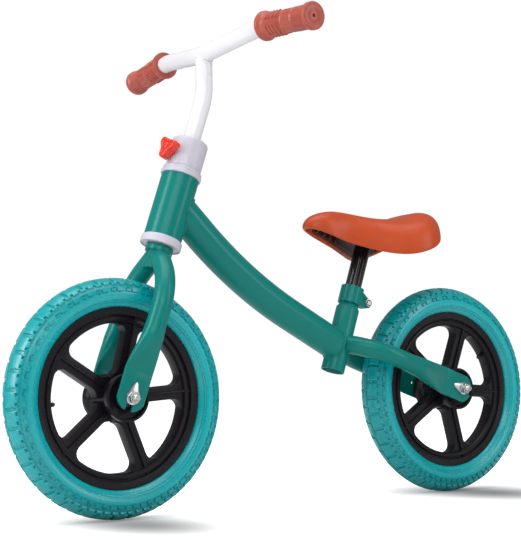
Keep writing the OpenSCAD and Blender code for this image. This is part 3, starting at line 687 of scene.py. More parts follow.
def drilled(plate, along, level):  # the plate alone is one closed shell, so it cuts cleanly
    mesh = bpy.data.meshes.new("plateInWork")
    plate.to_mesh(mesh)
    plate.free()
    piece = bpy.data.objects.new("plateInWork", mesh)
    scene.collection.objects.link(piece)
    cutBy(piece, "plateDrill", Vector((along, level, 0)) * mm, Vector((0, 1, 0)), 2.5 * mm, 0.02)
    done = bmesh.new()
    done.from_mesh(piece.data)
    bpy.data.objects.remove(piece)
    return done


def legMesh(leg, place, side, holeAt=None):
    # local X up the leg, local Y outwards, local Z across; place turns it into the bike
    bm = bmesh.new()
    total = leg["bendStart"] + leg["bend"] * math.radians(leg["sweep"]) + leg["beyond"]
    count = 74
    stations = [leg["flatTo"] - 2 + (total - leg["flatTo"] + 2) * i / (count - 1)
                for i in range(count)]

    def spot(ring, angle):
        along = stations[ring]
        x, y, heading = legPath(leg, along)
        t = softRamp((along - leg["flatTo"]) / (leg["roundAt"] - leg["flatTo"]))
        open_ = softRamp((along - leg["flatTo"]) / (leg["roundAt"] - leg["flatTo"]) * 1.35)
        round_, flat = leg["radius"], leg["plateHalf"]
        wide = flat + (round_ - flat) * t
        thick = (leg["plateThick"] / 2 - 0.05) + (round_ - leg["plateThick"] / 2 + 0.05) * open_
        power = 0.28 + 0.72 * min(1.0, open_ * 1.3)  # a slab's section opens into a circle
        c, s = math.cos(angle), math.sin(angle)
        across = wide * math.copysign(abs(c) ** power, c)
        out = thick * math.copysign(abs(s) ** power, s)
        centre = (leg["plateIn"] + leg["plateThick"] / 2) * (1 - open_) + leg["offset"] * open_
        y += centre - leg["offset"]
        return Vector(((x + out * math.sin(heading)) * mm, (y + out * math.cos(heading)) * mm,
                       across * mm))

    ringedTube(bm, count, 48, spot)
    # the flat end: an outline with the axle slot, extruded and softly broken
    plate = bmesh.new()
    half = leg["plateHalf"] - 0.15
    slot = 4.35
    outline = [(leg["flatTo"] + 1, -half), (leg["flatTo"] + 1, half), (-4, half),
               (-9, half * 0.86), (-13, half * 0.62), (-15.6, half * 0.4), (-16, slot + 0.6),
               (-15.4, slot), (0, slot), (3.1, slot * 0.72), (slot, 0),
               (3.1, -slot * 0.72), (0, -slot), (-15.4, -slot), (-16, -slot - 0.6),
               (-15.6, -half * 0.4), (-13, -half * 0.62), (-9, -half * 0.86), (-4, -half)]
    verts = [plate.verts.new((x * mm, leg["plateIn"] * mm, z * mm)) for x, z in outline]
    plate.faces.new(verts)
    grown = bmesh.ops.extrude_face_region(plate, geom=list(plate.faces))["geom"]
    bmesh.ops.translate(plate, vec=(0, leg["plateThick"] * mm, 0),
                        verts=[g for g in grown if isinstance(g, bmesh.types.BMVert)])
    bmesh.ops.recalc_face_normals(plate, faces=plate.faces)
    rims = [e for e in plate.edges if len(e.link_faces) == 2
            and e.calc_face_angle(0) > math.radians(70)
            and abs(e.verts[0].co.y - e.verts[1].co.y) < 1e-6]
    bmesh.ops.bevel(plate, geom=rims, offset=1.0 * mm, segments=3, affect="EDGES", profile=0.5,
                    material=-1, clamp_overlap=True)
    bmesh.ops.triangulate(plate, faces=[f for f in plate.faces if len(f.verts) > 4])
    if holeAt:
        plate = drilled(plate, holeAt, leg["plateIn"])
    joinInto(bm, plate)
    bmesh.ops.transform(bm, matrix=place, verts=bm.verts)
    if side < 0:
        bmesh.ops.scale(bm, vec=(1, -1, 1), verts=bm.verts)
    bmesh.ops.recalc_face_normals(bm, faces=bm.faces)
    return bm


def cutOff(bm, point, normal):  # removes what lies on the normal's side and closes the cut
    cut = bmesh.ops.bisect_plane(bm, geom=list(bm.verts) + list(bm.edges) + list(bm.faces),
                                 dist=1e-6, plane_co=point, plane_no=normal, clear_outer=True)
    edges = [g for g in cut["geom_cut"] if isinstance(g, bmesh.types.BMEdge)]
    bmesh.ops.holes_fill(bm, edges=edges)


upTheHead = headPlace @ Matrix.Rotation(-math.pi / 2, 4, "Y")  # local X becomes the steering axis
crownLow = headSpan("fork_crown")[0]
for side, cadName in ((1, "left_fork_blade"), (-1, "right_fork_blade")):
    bm = legMesh(blade, upTheHead, side)
    cutOff(bm, frontAxle + steerAxis * crownLow * mm, steerAxis)
    cutOff(bm, Vector((0, 0.02 * mm * side, 0)), Vector((0, -side, 0)))
    finished(bm, cadName + "_drawn", framePaint, "fork", (cadName,), sharp=50)
print("fork blades made")

stayRise = math.radians(19.3)
stayPlace = Matrix.Translation(rearAxle) @ Matrix.Rotation(-stayRise, 4, "Y")


def bentPath(points, bends, pitch=3.0):  # places and headings along straights and bends
    spots = []
    entry = points[0]
    for i in range(1, len(points)):
        heading = (points[i] - points[i - 1]).normalized()
        if i < len(points) - 1:
            after = (points[i + 1] - points[i]).normalized()
            turn = heading.angle(after)
            cut = bends[i] * mm * math.tan(turn / 2)
        else:
            after, turn, cut = None, 0.0, 0.0
        leave = points[i] - heading * cut
        steps = max(2, int((leave - entry).length / (pitch * 2 * mm)))
        spots += [(entry.lerp(leave, k / steps), heading) for k in range(steps)]
        if after is None:
            spots.append((leave, heading))
            break
        inward = (after - heading * heading.dot(after)).normalized()
        hub = leave + inward * bends[i] * mm
        steps = max(4, int(bends[i] * mm * turn / (pitch * mm)))
        for k in range(steps):
            a = turn * k / steps
            spots.append((hub - inward * bends[i] * mm * math.cos(a)
                          + heading * bends[i] * mm * math.sin(a),
                          (heading * math.cos(a) + inward * math.sin(a)).normalized()))
        entry = points[i] + after * cut
    return spots


def bentTube(points, bends, radius, sides=64):
    spots = bentPath(points, bends)
    across = spots[0][1].orthogonal().normalized()
    frames = []
    for place, heading in spots:  # the frame is carried along without twisting
        across = (across - heading * across.dot(heading)).normalized()
        frames.append((place, across, heading.cross(across)))

    def spot(ring, angle):
        place, u, v = frames[ring]
        return place + (u * math.cos(angle) + v * math.sin(angle)) * radius * mm

    bm = bmesh.new()
    ringedTube(bm, len(spots), sides, spot)
    return bm


def cutBy(piece, cutterName, point, axis, radius, length):
    # takes a round bar out of a piece
    bm = bmesh.new()
    bmesh.ops.create_cone(bm, cap_ends=True, segments=96, radius1=radius, radius2=radius,
                          depth=length, matrix=standing(point, axis))
    mesh = bpy.data.meshes.new(cutterName)
    bm.to_mesh(mesh)
    bm.free()
    cutter = bpy.data.objects.new(cutterName, mesh)
    scene.collection.objects.link(cutter)
    modifier = piece.modifiers.new("cut", "BOOLEAN")
    modifier.object = cutter
    modifier.operation = "DIFFERENCE"
    modifier.solver = "EXACT"
    bpy.context.view_layer.update()
    cut = bpy.data.meshes.new_from_object(
        piece.evaluated_get(bpy.context.evaluated_depsgraph_get()))
    piece.modifiers.clear()
    bm = bmesh.new()  # a cut can leave one of two joined shells facing inwards
    bm.from_mesh(cut)
    bmesh.ops.recalc_face_normals(bm, faces=bm.faces)
    bm.to_mesh(cut)
    bm.free()
    old = piece.data
    piece.data = cut
    bpy.data.meshes.remove(old)
    bpy.data.objects.remove(cutter)
    return piece


seatMiddle = postPoint
forwardOfSeat = Vector((postAxis.z, 0, -postAxis.x))
for side, cadName in ((1, "left_chain_stay"), (-1, "right_chain_stay")):
    bm = legMesh(stay, stayPlace, side, holeAt=29.0 if side < 0 else None)
    cutOff(bm, seatMiddle + forwardOfSeat * 6.9 * mm, forwardOfSeat)
    cutOff(bm, Vector((0, 0.02 * mm * side, 0)), Vector((0, -side, 0)))
    piece = finished(bm, cadName + "_drawn", framePaint, "frame", (cadName,),
                     sharp=50)
    cutBy(piece, "seatTubeCutter", seatMiddle, postAxis, 15.92 * mm, 0.6)
    piece.data.shade_smooth()
    piece.data.set_sharp_from_angle(angle=math.radians(50))
print("rear stays made")

# head, rings, collar and knob
head = {
    "lowerRing": [(24.6, 1.0), (24.6, 0.2), (25.0, 0.0), (25.4, 0.0), (26.0, 0.7), (26.0, 8.6),
                  (25.7, 9.6), (25.0, 10.4), (24.2, 10.9), (21.8, 10.9), (15.0, 10.9), (15.0, 1.0)],
    "upperRing": [(15.0, 0.1), (24.0, 0.1), (25.3, 0.2), (26.0, 0.9), (26.0, 4.4), (25.6, 4.7),
                  (25.2, 5.0), (25.2, 8.8), (24.6, 9.8), (23.6, 10.0), (15.0, 10.0)],
    "collar": [(11.4, 0.0), (22.6, 0.0), (23.0, 0.5), (23.0, 2.4), (22.7, 2.7), (22.7, 3.1),
               (23.0, 3.4), (23.0, 35.6), (22.7, 37.4), (21.9, 38.9), (20.6, 39.9), (18.8, 40.4),
               (13.6, 40.5), (12.4, 40.0), (11.4, 38.8)]}


def turnedPiece(name, profile, low, material, body, replaced, scale=1.0, steps=128):
    bm = bmesh.new()
    spunProfile(bm, [(r, low + h * scale) for r, h in profile], headPlace, steps=steps)
    return finished(bm, name, material, body, replaced, sharp=30)


ringLow = headSpan("lower_head_ring")[0]
turnedPiece("lower_ring_turned", head["lowerRing"], ringLow, lilacPlastic, "frame",
            ("lower_head_ring",))
upHigh = headSpan("upper_head_ring")[1]
turnedPiece("upper_ring_turned", head["upperRing"], upHigh - 10.0, lilacPlastic, "frame",
            ("upper_head_ring",))
collarLow = headSpan("steering_collar")[0]
knobSquare = standing(knobRoot, knobAxis, steerAxis)  # local Z out of the knob, local X up

bm = bmesh.new()
spunProfile(bm, [(r, collarLow + h) for r, h in head["collar"]], headPlace, steps=128)
knobLow = min((v.co - knobRoot).dot(knobAxis) for v in nodes["clamp_knob"].data.vertices)
bossTop = knobLow / mm - 0.5
boss = [(3.3, 12.0), (7.6, 12.0), (8.6, bossTop - 2.4), (8.0, bossTop - 0.4), (7.6, bossTop),
        (3.3, bossTop)]
spunProfile(bm, boss, knobSquare, steps=48)
finished(bm, "collar_moulded", lilacPlastic, "fork", ("steering_collar",), sharp=30)

# two moulding lines run down the collar
for k, turn in enumerate((70, 250)):
    bm = bmesh.new()
    bmesh.ops.create_cube(bm, size=1.0)
    bmesh.ops.scale(bm, vec=(0.5 * mm, 0.7 * mm, 31 * mm), verts=bm.verts)
    bmesh.ops.translate(bm, vec=(22.95 * mm, 0, (collarLow + 19.5) * mm), verts=bm.verts)
    bmesh.ops.bevel(bm, geom=list(bm.edges), offset=0.18 * mm, segments=2, affect="EDGES",
                    profile=0.5, material=-1)
    bmesh.ops.transform(bm, matrix=headPlace @ Matrix.Rotation(math.radians(turn), 4, "Z"),
                        verts=bm.verts)
    finished(bm, f"collar_seam_{k}", lilacPlastic, "fork")

knob = {"reach": 15.8, "middle": 8.8, "thick": 12.2, "spin": -18.0, "edge": 1.9}
bm = bmesh.new()
sides = 72
bmesh.ops.create_circle(bm, cap_ends=True, radius=1.0, segments=sides)
for v in bm.verts:
    a = math.atan2(v.co.y, v.co.x)
    lobe = (0.5 + 0.5 * math.cos(3 * a)) ** 1.25
    r = knob["middle"] + (knob["reach"] - knob["middle"]) * lobe
    v.co = Vector((r * math.cos(a), r * math.sin(a), 0)) * mm
grown = bmesh.ops.extrude_face_region(bm, geom=list(bm.faces))["geom"]
bmesh.ops.translate(bm, vec=(0, 0, knob["thick"] * mm),
                    verts=[g for g in grown if isinstance(g, bmesh.types.BMVert)])
bmesh.ops.recalc_face_normals(bm, faces=bm.faces)
rims = [e for e in bm.edges if len(e.link_faces) == 2 and e.calc_face_angle(0) > 1.2]
bmesh.ops.bevel(bm, geom=rims, offset=knob["edge"] * mm, segments=4, affect="EDGES", profile=0.5,
                material=-1, clamp_overlap=True)
top = [f for f in bm.faces if len(f.verts) > 20 and f.normal.z > 0.9]
bmesh.ops.inset_region(bm, faces=top, thickness=1.2 * mm, depth=0)
bmesh.ops.inset_region(bm, faces=top, thickness=0.5 * mm, depth=-0.7 * mm)
bmesh.ops.translate(bm, vec=(0, 0, 2.6 * mm), verts=bm.verts)
cap = [(0.0, 14.0), (0.0, 16.0), (3.4, 15.9), (4.6, 15.5), (5.0, 14.9), (5.1, 14.0)]
spunProfile(bm, cap, steps=48, closed=True)
spunProfile(bm, [(3.1, 0.0), (6.6, 0.0), (7.0, 0.4), (7.0, 3.4), (3.1, 3.4)], steps=48)
bmesh.ops.transform(bm, matrix=knobSquare @ Matrix.Translation((0, 0, knobLow))
                    @ Matrix.Rotation(math.radians(knob["spin"] + 180), 4, "Z"), verts=bm.verts)
finished(bm, "knob_moulded", knobPlastic, "knob", ("clamp_knob",), sharp=45)
print("head pieces made")

# handlebar and grips


def crossing(pointA, axisA, radiusA, pointB, axisB, radiusB, count=90, away=1, inset=0.0):
    # where the surface of round bar B, running along axisB, meets round bar A
    a, b = axisA.normalized(), axisB.normalized()
    u = b.orthogonal().normalized()
    v = b.cross(u)
    spots = []
    for i in range(count):
        turn = 2 * math.pi * i / count
        start = pointB + (u * math.cos(turn) + v * math.sin(turn)) * (radiusB - inset) - pointA
        p = start - a * start.dot(a)
        q = b - a * b.dot(a)
        qq, pq, pp = q.dot(q), p.dot(q), p.dot(p) - radiusA ** 2
        under = pq * pq - qq * pp
        s = (-pq + away * math.sqrt(max(under, 0))) / qq
        spots.append(pointA + start + b * s)
    return spots


grip = {"profile": [(11.25, 1.6), (12.4, 0.9), (15.6, 0.9), (16.9, 0.0), (17.9, 0.1), (18.5, 0.8),
                    (18.5, 3.6), (18.1, 4.6), (16.9, 5.6), (15.6, 6.8), (14.8, 8.6), (14.35, 11.0),
                    (14.2, 16.0), (14.35, 41.5), (14.9, 42.2), (14.9, 43.6), (14.5, 44.2),
                    (14.35, 46.0), (14.35, 60.0), (14.9, 60.6), (14.9, 61.8), (14.4, 62.4)],
        "rings": (64.0, 81.0, 2.0),
        "end": [(14.5, 81.6), (15.2, 82.6), (16.9, 84.4), (17.0, 85.4), (17.0, 89.2), (16.6, 90.2),
                (15.6, 90.9), (14.6, 91.0), (13.8, 90.7), (13.3, 90.2), (6.4, 90.2), (6.0, 90.5),
                (5.4, 90.5), (5.0, 90.1), (2.4, 90.1), (2.1, 89.7), (2.0, 86.4), (0.0, 86.4)]}


def gripEnds(cadName):  # inner and outer ends of a grip, from its own vertices
    spots = [v.co.copy() for v in nodes[cadName].data.vertices]
    low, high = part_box(cadName)
    side = 1 if (low.y + high.y) > 0 else -1
    axis = Vector((-6.5, 90 * side, -7)).normalized()
    along = [s.dot(axis) for s in spots]
    near, far = min(along), max(along)
    flange = [s for s, a in zip(spots, along) if a < near + 0.4 * mm]
    x = (min(s.x for s in flange) + max(s.x for s in flange)) / 2
    z = (min(s.z for s in flange) + max(s.z for s in flange)) / 2
    y = sum(s.y for s in flange) / len(flange)
    return Vector((x, y, z)), axis, side


bar = {"gripBack": 15.5, "gripOut": 117.0, "gripUp": 13.0, "radius": 11.1, "gripBend": 60.0,
       "midBend": 120.0, "stemLow": 219.0, "stemBendStart": 388.0, "stemBend": 100.0}
gripIn, gripAxis = gripEnds("left_grip")[:2]
barMid = gripIn + Vector((bar["gripBack"], -bar["gripOut"], -bar["gripUp"])) * mm
barMid.y = 0
barTurn = gripIn - gripAxis * 10 * mm
barEnd = gripIn + gripAxis * 84 * mm
flip = Vector((1, -1, 1))
finished(bentTube([barEnd * flip, barTurn * flip, barMid, barTurn, barEnd],
                  (0, bar["gripBend"], bar["midBend"], bar["gripBend"], 0), bar["radius"]),
         "handlebar_tube_bent", barPaint, "handlebar", ("handlebar_tube",), sharp=50)
stemLean = steerAxis.angle(Vector((0, 0, 1)))
stemCorner = bar["stemBendStart"] + bar["stemBend"] * math.tan(stemLean / 2)
stemCorner = frontAxle + steerAxis * stemCorner * mm
finished(bentTube([frontAxle + steerAxis * bar["stemLow"] * mm, stemCorner,
                   Vector((stemCorner.x, 0, barMid.z - 1.5 * mm))], (0, bar["stemBend"], 0),
                  bar["radius"]),
         "handlebar_stem_bent", barPaint, "handlebar", ("handlebar_stem",), sharp=50)
for cadName in ("left_grip", "right_grip"):
    start, axis, side = gripEnds(cadName)
    profile = list(grip["profile"])
    at, until, pitch = grip["rings"]
    while at < until:  # fine rings round the outer half
        profile += [(14.4, at), (14.95, at + pitch * 0.3), (14.95, at + pitch * 0.62),
                    (14.4, at + pitch * 0.9)]
        at += pitch
    profile += grip["end"]
    place = standing(start, axis, Vector((0, 0, 1)))
    bm = bmesh.new()
    outer = profile + [(0.0, 85.9), (11.25, 85.9)]
    spunProfile(bm, outer, place, steps=72)
    # oval finger ribs over the inner half, and small bars between the rings
    for h in (16.5, 22.5, 28.5, 34.5):
        for turn in (0, 90, 180, 270):
            rib = bmesh.ops.create_uvsphere(bm, u_segments=20, v_segments=12, radius=1.0)["verts"]
            bmesh.ops.scale(bm, vec=(2.3 * mm, 8.2 * mm, 1.9 * mm), verts=rib)
            bmesh.ops.translate(bm, vec=(13.4 * mm, 0, h * mm), verts=rib)
            bmesh.ops.transform(bm, matrix=place @ Matrix.Rotation(math.radians(turn + 45), 4, "Z"),
                                verts=rib)
    for turn in range(0, 360, 30):
        strip = bmesh.new()
        bmesh.ops.create_cube(strip, size=1.0)
        bmesh.ops.scale(strip, vec=(1.3 * mm, 1.7 * mm, 13.0 * mm), verts=strip.verts)
        bmesh.ops.bevel(strip, geom=list(strip.edges), offset=0.35 * mm, segments=2,
                        affect="EDGES", profile=0.5, material=-1)
        joinInto(bm, strip, place @ Matrix.Rotation(math.radians(turn), 4, "Z")
                 @ Matrix.Translation((14.2 * mm, 0, 53.0 * mm)))
    finished(bm, cadName + "_moulded", gripRubber, "handlebar", (cadName,), sharp=40)
print("grips made")

# the vent hole on the rider's left of the stem, just under the bar
stemTopSpots = [v.co for v in nodes["handlebar_stem"].data.vertices
                if v.co.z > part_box("handlebar_stem")[1].z - 30 * mm]
stemCentre = Vector(((min(s.x for s in stemTopSpots) + max(s.x for s in stemTopSpots)) / 2, 0, 0))
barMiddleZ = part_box("handlebar_stem")[1].z + 0.8 * mm

ventPlace = standing(Vector((stemCentre.x, 10.95 * mm, barMiddleZ - 24 * mm)),
                     Vector((0, 1, 0)), Vector((0, 0, 1)))
bm = bmesh.new()
spunProfile(bm, [(0.0, -1.2), (1.7, -1.2), (1.9, 0.1), (2.9, 0.35), (3.3, 0.0), (3.4, -1.6),
                 (0.0, -1.8)], ventPlace, steps=32)
finished(bm, "stem_vent", barPaint, "handlebar", sharp=40)
# a near-black disc inside the vent ring stands in for the shade in the hole
bm = bmesh.new()
spunProfile(bm, [(0.0, -1.0), (1.75, -1.0), (1.75, -0.7), (0.0, -0.7)], ventPlace, steps=24)
finished(bm, "stem_vent_hole", holeShade, "handlebar", sharp=40)
bead = crossing(Vector((stemCentre.x, 0, barMiddleZ)), Vector((0, 1, 0)),
                11.15 * mm, Vector((stemCentre.x, 0, barMiddleZ - 40 * mm)), Vector((0, 0, 1)),
                11.15 * mm, count=72, away=-1, inset=0.3 * mm)
beadAlong("stem_weld", bead, 2.6, "handlebar", material=barPaint, ripple=0.08)

# main tube and its welds
seatTop = max((v.co - seatMiddle).dot(postAxis) for v in nodes["seat_tube"].data.vertices)
mainTube = {"headAt": 256.8, "seatAt": 34.0, "radius": 21.0, "bend": 600.0, "dipFront": 9.3,
            "dipBack": 7.3, "headCut": 24.02, "seatCut": 15.92, "endAhead": 7.0}
headTubeRadius = 24.0 * mm
frontJoin = frontAxle + steerAxis * mainTube["headAt"] * mm
seatOrigin = seatMiddle + postAxis * (seatTop - 119 * mm)
backJoin = seatOrigin + postAxis * mainTube["seatAt"] * mm
chord = math.atan2(frontJoin.z - backJoin.z, frontJoin.x - backJoin.x)
frontHeading = chord + math.radians(mainTube["dipFront"])
backHeading = chord - math.radians(mainTube["dipBack"])
mainFront = Vector((math.cos(frontHeading), 0, math.sin(frontHeading)))
mainBack = Vector((math.cos(backHeading), 0, math.sin(backHeading)))
mainSpan = frontJoin - backJoin
backRun = ((mainSpan.x * mainFront.z - mainSpan.z * mainFront.x)
           / math.sin(frontHeading - backHeading))
mainCorner = backJoin + mainBack * backRun
bm = bentTube([frontJoin, mainCorner, backJoin], (0, mainTube["bend"], 0), mainTube["radius"], 80)
cutOff(bm, seatMiddle + forwardOfSeat * mainTube["endAhead"] * mm, -forwardOfSeat)
mainPiece = finished(bm, "main_tube_bent", framePaint, "frame", ("main_tube",),
                     sharp=50)
cutBy(mainPiece, "headCutter", frontAxle + steerAxis * 0.25, steerAxis,
      mainTube["headCut"] * mm, 0.4)
cutBy(mainPiece, "seatCutter", seatMiddle, postAxis, mainTube["seatCut"] * mm, 0.6)
mainPiece.data.shade_smooth()
mainPiece.data.set_sharp_from_angle(angle=math.radians(50))
beadAlong("head_weld", crossing(frontAxle, steerAxis, headTubeRadius, frontJoin, mainFront,
                                mainTube["radius"] * mm, count=150, away=-1, inset=-0.3 * mm),
          3.6, "frame")
endSpots = []  # round the end of the main tube, where it meets the seat tube
alongEnd = mainBack.cross(Vector((0, 1, 0)))
for i in range(96):
    turn = 2 * math.pi * i / 96
    away = Vector((0, 1, 0)) * math.cos(turn) + alongEnd * math.sin(turn)
    away = away * mainTube["radius"] * mm
    ahead = math.sqrt(max(mainTube["seatCut"] ** 2 - (away.y / mm) ** 2,
                          mainTube["endAhead"] ** 2)) * mm
    start = backJoin + away
    reach = (ahead - (start - seatMiddle).dot(forwardOfSeat)) / mainBack.dot(forwardOfSeat)
    endSpots.append(start + mainBack * reach)
beadAlong("seat_weld", endSpots, 3.0, "frame")
print("welds made")

# axles, nuts and washers
hardware = {"flats": 13.0, "nutHigh": 6.5, "nutFrom": 41.5, "tip": 54.0, "rod": 4.0,
            "washerBig": 8.5, "washerSmall": 2.6, "washerFar": 16.3, "washerThick": 2.0}


def makeAxle(centre, washerDeg, body, prefix):
    bm = bmesh.new()
    tip, rod = hardware["tip"], hardware["rod"]
    half = [(0.0, tip), (3.0, tip), (3.4, tip - 0.4)]
    at = tip - 0.6
    while at > 40.5:  # the thread is drawn as close rings
        outer = 3.6 if at > 48.6 else 3.9
        half += [(outer, at - 0.3), (outer - 0.45, at - 0.75)]
        at -= 0.95
    half += [(rod, at - 0.6), (rod, 0.0)]
    loop = half + [(r, -h) for r, h in half[-2::-1]]
    spunProfile(bm, loop, sideways(centre), steps=32)
    finished(bm, prefix + "_axle_threaded", zincPlate, body, (prefix + "_axle",), sharp=30)

    bm = bmesh.new()
    for side in (1, -1):
        nut = bmesh.new()
        bmesh.ops.create_cone(nut, cap_ends=True, segments=6, depth=hardware["nutHigh"] * mm,
                              radius1=hardware["flats"] / 2 / math.cos(math.pi / 6) * mm,
                              radius2=hardware["flats"] / 2 / math.cos(math.pi / 6) * mm)
        tops = [f for f in nut.faces if abs(f.normal.z) > 0.9]
        bmesh.ops.inset_region(nut, faces=tops, thickness=0.9 * mm, depth=0.0)
        bmesh.ops.inset_region(nut, faces=tops, thickness=0.35 * mm, depth=0.45 * mm)
        bmesh.ops.scale(nut, vec=(1, 1, (hardware["nutHigh"] - 0.02) / (hardware["nutHigh"] + 0.9)),
                        verts=nut.verts)
        uprights = [e for e in nut.edges if abs(e.verts[0].co.z - e.verts[1].co.z) > 3 * mm]
        bmesh.ops.bevel(nut, geom=uprights, offset=0.45 * mm, segments=2, affect="EDGES",
                        profile=0.5, material=-1)
        joinInto(bm, nut, sideways(centre) @ Matrix.Translation(
            (0, 0, side * (hardware["nutFrom"] + hardware["nutHigh"] / 2) * mm))
            @ Matrix.Rotation(math.radians(17), 4, "Z"))
    finished(bm, prefix + "_nuts_plated", zincPlate, body, (prefix + "_axle_nuts",),
             sharp=25)

    bm = bmesh.new()
    for side in (1, -1):
        washer = bmesh.new()
        big, small, far = (hardware[k] for k in ("washerBig", "washerSmall", "washerFar"))
        lean = math.asin((big - small) / far)
        outline = []
        for i in range(27):
            a = math.pi / 2 - lean + (math.pi + 2 * lean) * i / 26
            outline.append((big * math.cos(a), big * math.sin(a)))
        for i in range(9):
            a = -math.pi / 2 + lean + (math.pi - 2 * lean) * i / 8
            outline.append((far + small * math.cos(a), small * math.sin(a)))
        verts = [washer.verts.new((x * mm, y * mm, 0)) for x, y in outline]
        washer.faces.new(verts)
        grown = bmesh.ops.extrude_face_region(washer, geom=list(washer.faces))["geom"]
        bmesh.ops.translate(washer, vec=(0, 0, hardware["washerThick"] * mm),
                            verts=[g for g in grown if isinstance(g, bmesh.types.BMVert)])
        bmesh.ops.recalc_face_normals(washer, faces=washer.faces)
        rims = [e for e in washer.edges if len(e.link_faces) == 2 and e.calc_face_angle(0) > 1.2]
        bmesh.ops.bevel(washer, geom=rims, offset=0.4 * mm, segments=2, affect="EDGES",
                        profile=0.5, material=-1)
        low = 39.5 if side > 0 else -39.5 - hardware["washerThick"]
        joinInto(bm, washer, sideways(centre) @ Matrix.Translation((0, 0, low * mm))
                 @ Matrix.Rotation(math.radians(washerDeg), 4, "Z"))
    finished(bm, prefix + "_washers_plated", zincPlate, body, (prefix + "_tab_washers",),
             sharp=25)


def washerTurn(prefix, centre):  # the way the washer's tab points, from the CAD piece
    spots = [v.co - centre for v in nodes[prefix + "_tab_washers"].data.vertices]
    far = max(spots, key=lambda s: math.hypot(s.x, s.z))
    return math.degrees(math.atan2(-far.z, far.x))


makeAxle(frontAxle, washerTurn("front", frontAxle), "fork", "front")
makeAxle(rearAxle, washerTurn("rear", rearAxle), "frame", "rear")
print("axles made")

# saddle
saddle = {
    "rows": [(0, 5, 366, 370), (3, 9, 364.6, 375.5), (9, 14, 362, 381), (18, 18.5, 358.8, 385.5),
             (30, 21.8, 354, 389), (42, 23, 349.2, 390.6), (56, 25.2, 344.2, 390.4),
             (71, 30, 339.6, 388.8), (86, 36.5, 335.2, 386.8), (101, 44, 331.2, 385),
             (116, 52.5, 328.2, 384), (131, 60, 327.2, 384), (145, 65.3, 328.6, 385.6),
             (159, 68.4, 332, 388.8), (173, 68.2, 337, 392.8), (186, 62.8, 343, 395.8),
             (196.3, 55.3, 348.4, 396), (205.6, 45.8, 353.4, 393.6), (214, 35.2, 358, 389),
             (220.5, 25.2, 361.5, 383.5), (225.2, 15.2, 364.4, 377.5), (228, 6.3, 367, 372.5)],
    "sides": 88, "sideIn": 5.0, "topIn": 15.0, "pressure": 4.0, "cap": 1.4}
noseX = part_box("saddle_cover")[1].x / mm


def powered(value, power):
    return math.copysign(abs(value) ** power, value)


def saddleRow(along):  # the row at any distance from the nose, smoothly between the given ones
    rows = saddle["rows"]
    along = min(max(along, rows[0][0]), rows[-1][0])
    for k in range(len(rows) - 1):
        if along <= rows[k + 1][0]:
            break
    a, b = rows[k], rows[k + 1]
    before, after = rows[max(k - 1, 0)], rows[min(k + 2, len(rows) - 1)]
    t = (along - a[0]) / (b[0] - a[0])
    out = []
    for i in (1, 2, 3):
        slopeA = (b[i] - before[i]) / max(1e-6, b[0] - before[0]) * (b[0] - a[0])
        slopeB = (after[i] - a[i]) / max(1e-6, after[0] - a[0]) * (b[0] - a[0])
        out.append((2 * t ** 3 - 3 * t ** 2 + 1) * a[i] + (t ** 3 - 2 * t ** 2 + t) * slopeA
                   + (-2 * t ** 3 + 3 * t ** 2) * b[i] + (t ** 3 - t ** 2) * slopeB)
    return out


def archSpot(along, turn, sideIn, topIn, dropIn=0.0):  # turn runs from 0 at the left edge to pi
    half, edge, top = saddleRow(along)
    return Vector((noseX - along, max(0.5, half - sideIn) * powered(math.cos(turn), 0.75),
                   edge + dropIn + max(0.4, top - edge - topIn - dropIn)
                   * powered(math.sin(turn), 0.8))) * mm


def saddleStations(count, start=0.0, end=228.0):
    # closer together towards nose and tail
    return [start + (end - start) * (0.5 - 0.5 * math.cos(math.pi * i / (count - 1)))
            for i in range(count)]


def saddleSolid(outSide, outTop, inSide, inTop, stations, sides, drop=0.0):
    bm = bmesh.new()

    def spot(ring, angle):
        along = stations[ring]
        if angle <= math.pi + 1e-6:
            return archSpot(along, angle, outSide, outTop, drop)
        return archSpot(along, 2 * math.pi - angle, inSide, inTop, drop)

    ringedTube(bm, len(stations), sides, spot)
    bmesh.ops.recalc_face_normals(bm, faces=bm.faces)
    return bm


def swollenPad(mesh, held, settings):
    # fills the pad under a little pressure, then keeps each point near where it began
    pad = bpy.data.objects.new("padInWork", mesh)
    scene.collection.objects.link(pad)
    pinned = pad.vertex_groups.new(name="held")
    pinned.add(held, 1.0, "REPLACE")
    start = [v.co.copy() for v in mesh.vertices]
    cloth = pad.modifiers.new("cloth", "CLOTH")
    cloth.settings.quality = 6
    cloth.settings.mass = 0.2
    cloth.settings.tension_stiffness = 25
    cloth.settings.compression_stiffness = 25
    cloth.settings.bending_stiffness = 4
    cloth.settings.vertex_group_mass = "held"
    cloth.settings.use_pressure = True
    cloth.settings.uniform_pressure_force = settings["pressure"]
    cloth.settings.effector_weights.gravity = 0
    cloth.collision_settings.use_collision = False
    cloth.collision_settings.use_self_collision = False
    cloth.point_cache.frame_start = 1
    cloth.point_cache.frame_end = 20
    for number in range(1, 21):
        scene.frame_set(number)
    swollen = bpy.data.meshes.new_from_object(
        pad.evaluated_get(bpy.context.evaluated_depsgraph_get()))
    pad.modifiers.clear()
    pad.vertex_groups.clear()
    scene.frame_set(1)
    moves = []
    for v, a, b in zip(mesh.vertices, start, [v.co.copy() for v in swollen.vertices]):
        move = b - a
        limit = settings["cap"] * mm
        moves.append(move.length / mm)
        v.co = a + (move if move.length < limit else move * (limit / move.length))
    print("pad moved up to %.1f mm before the cap" % max(moves))
    bpy.data.meshes.remove(swollen)
    bpy.data.objects.remove(pad)
    return mesh


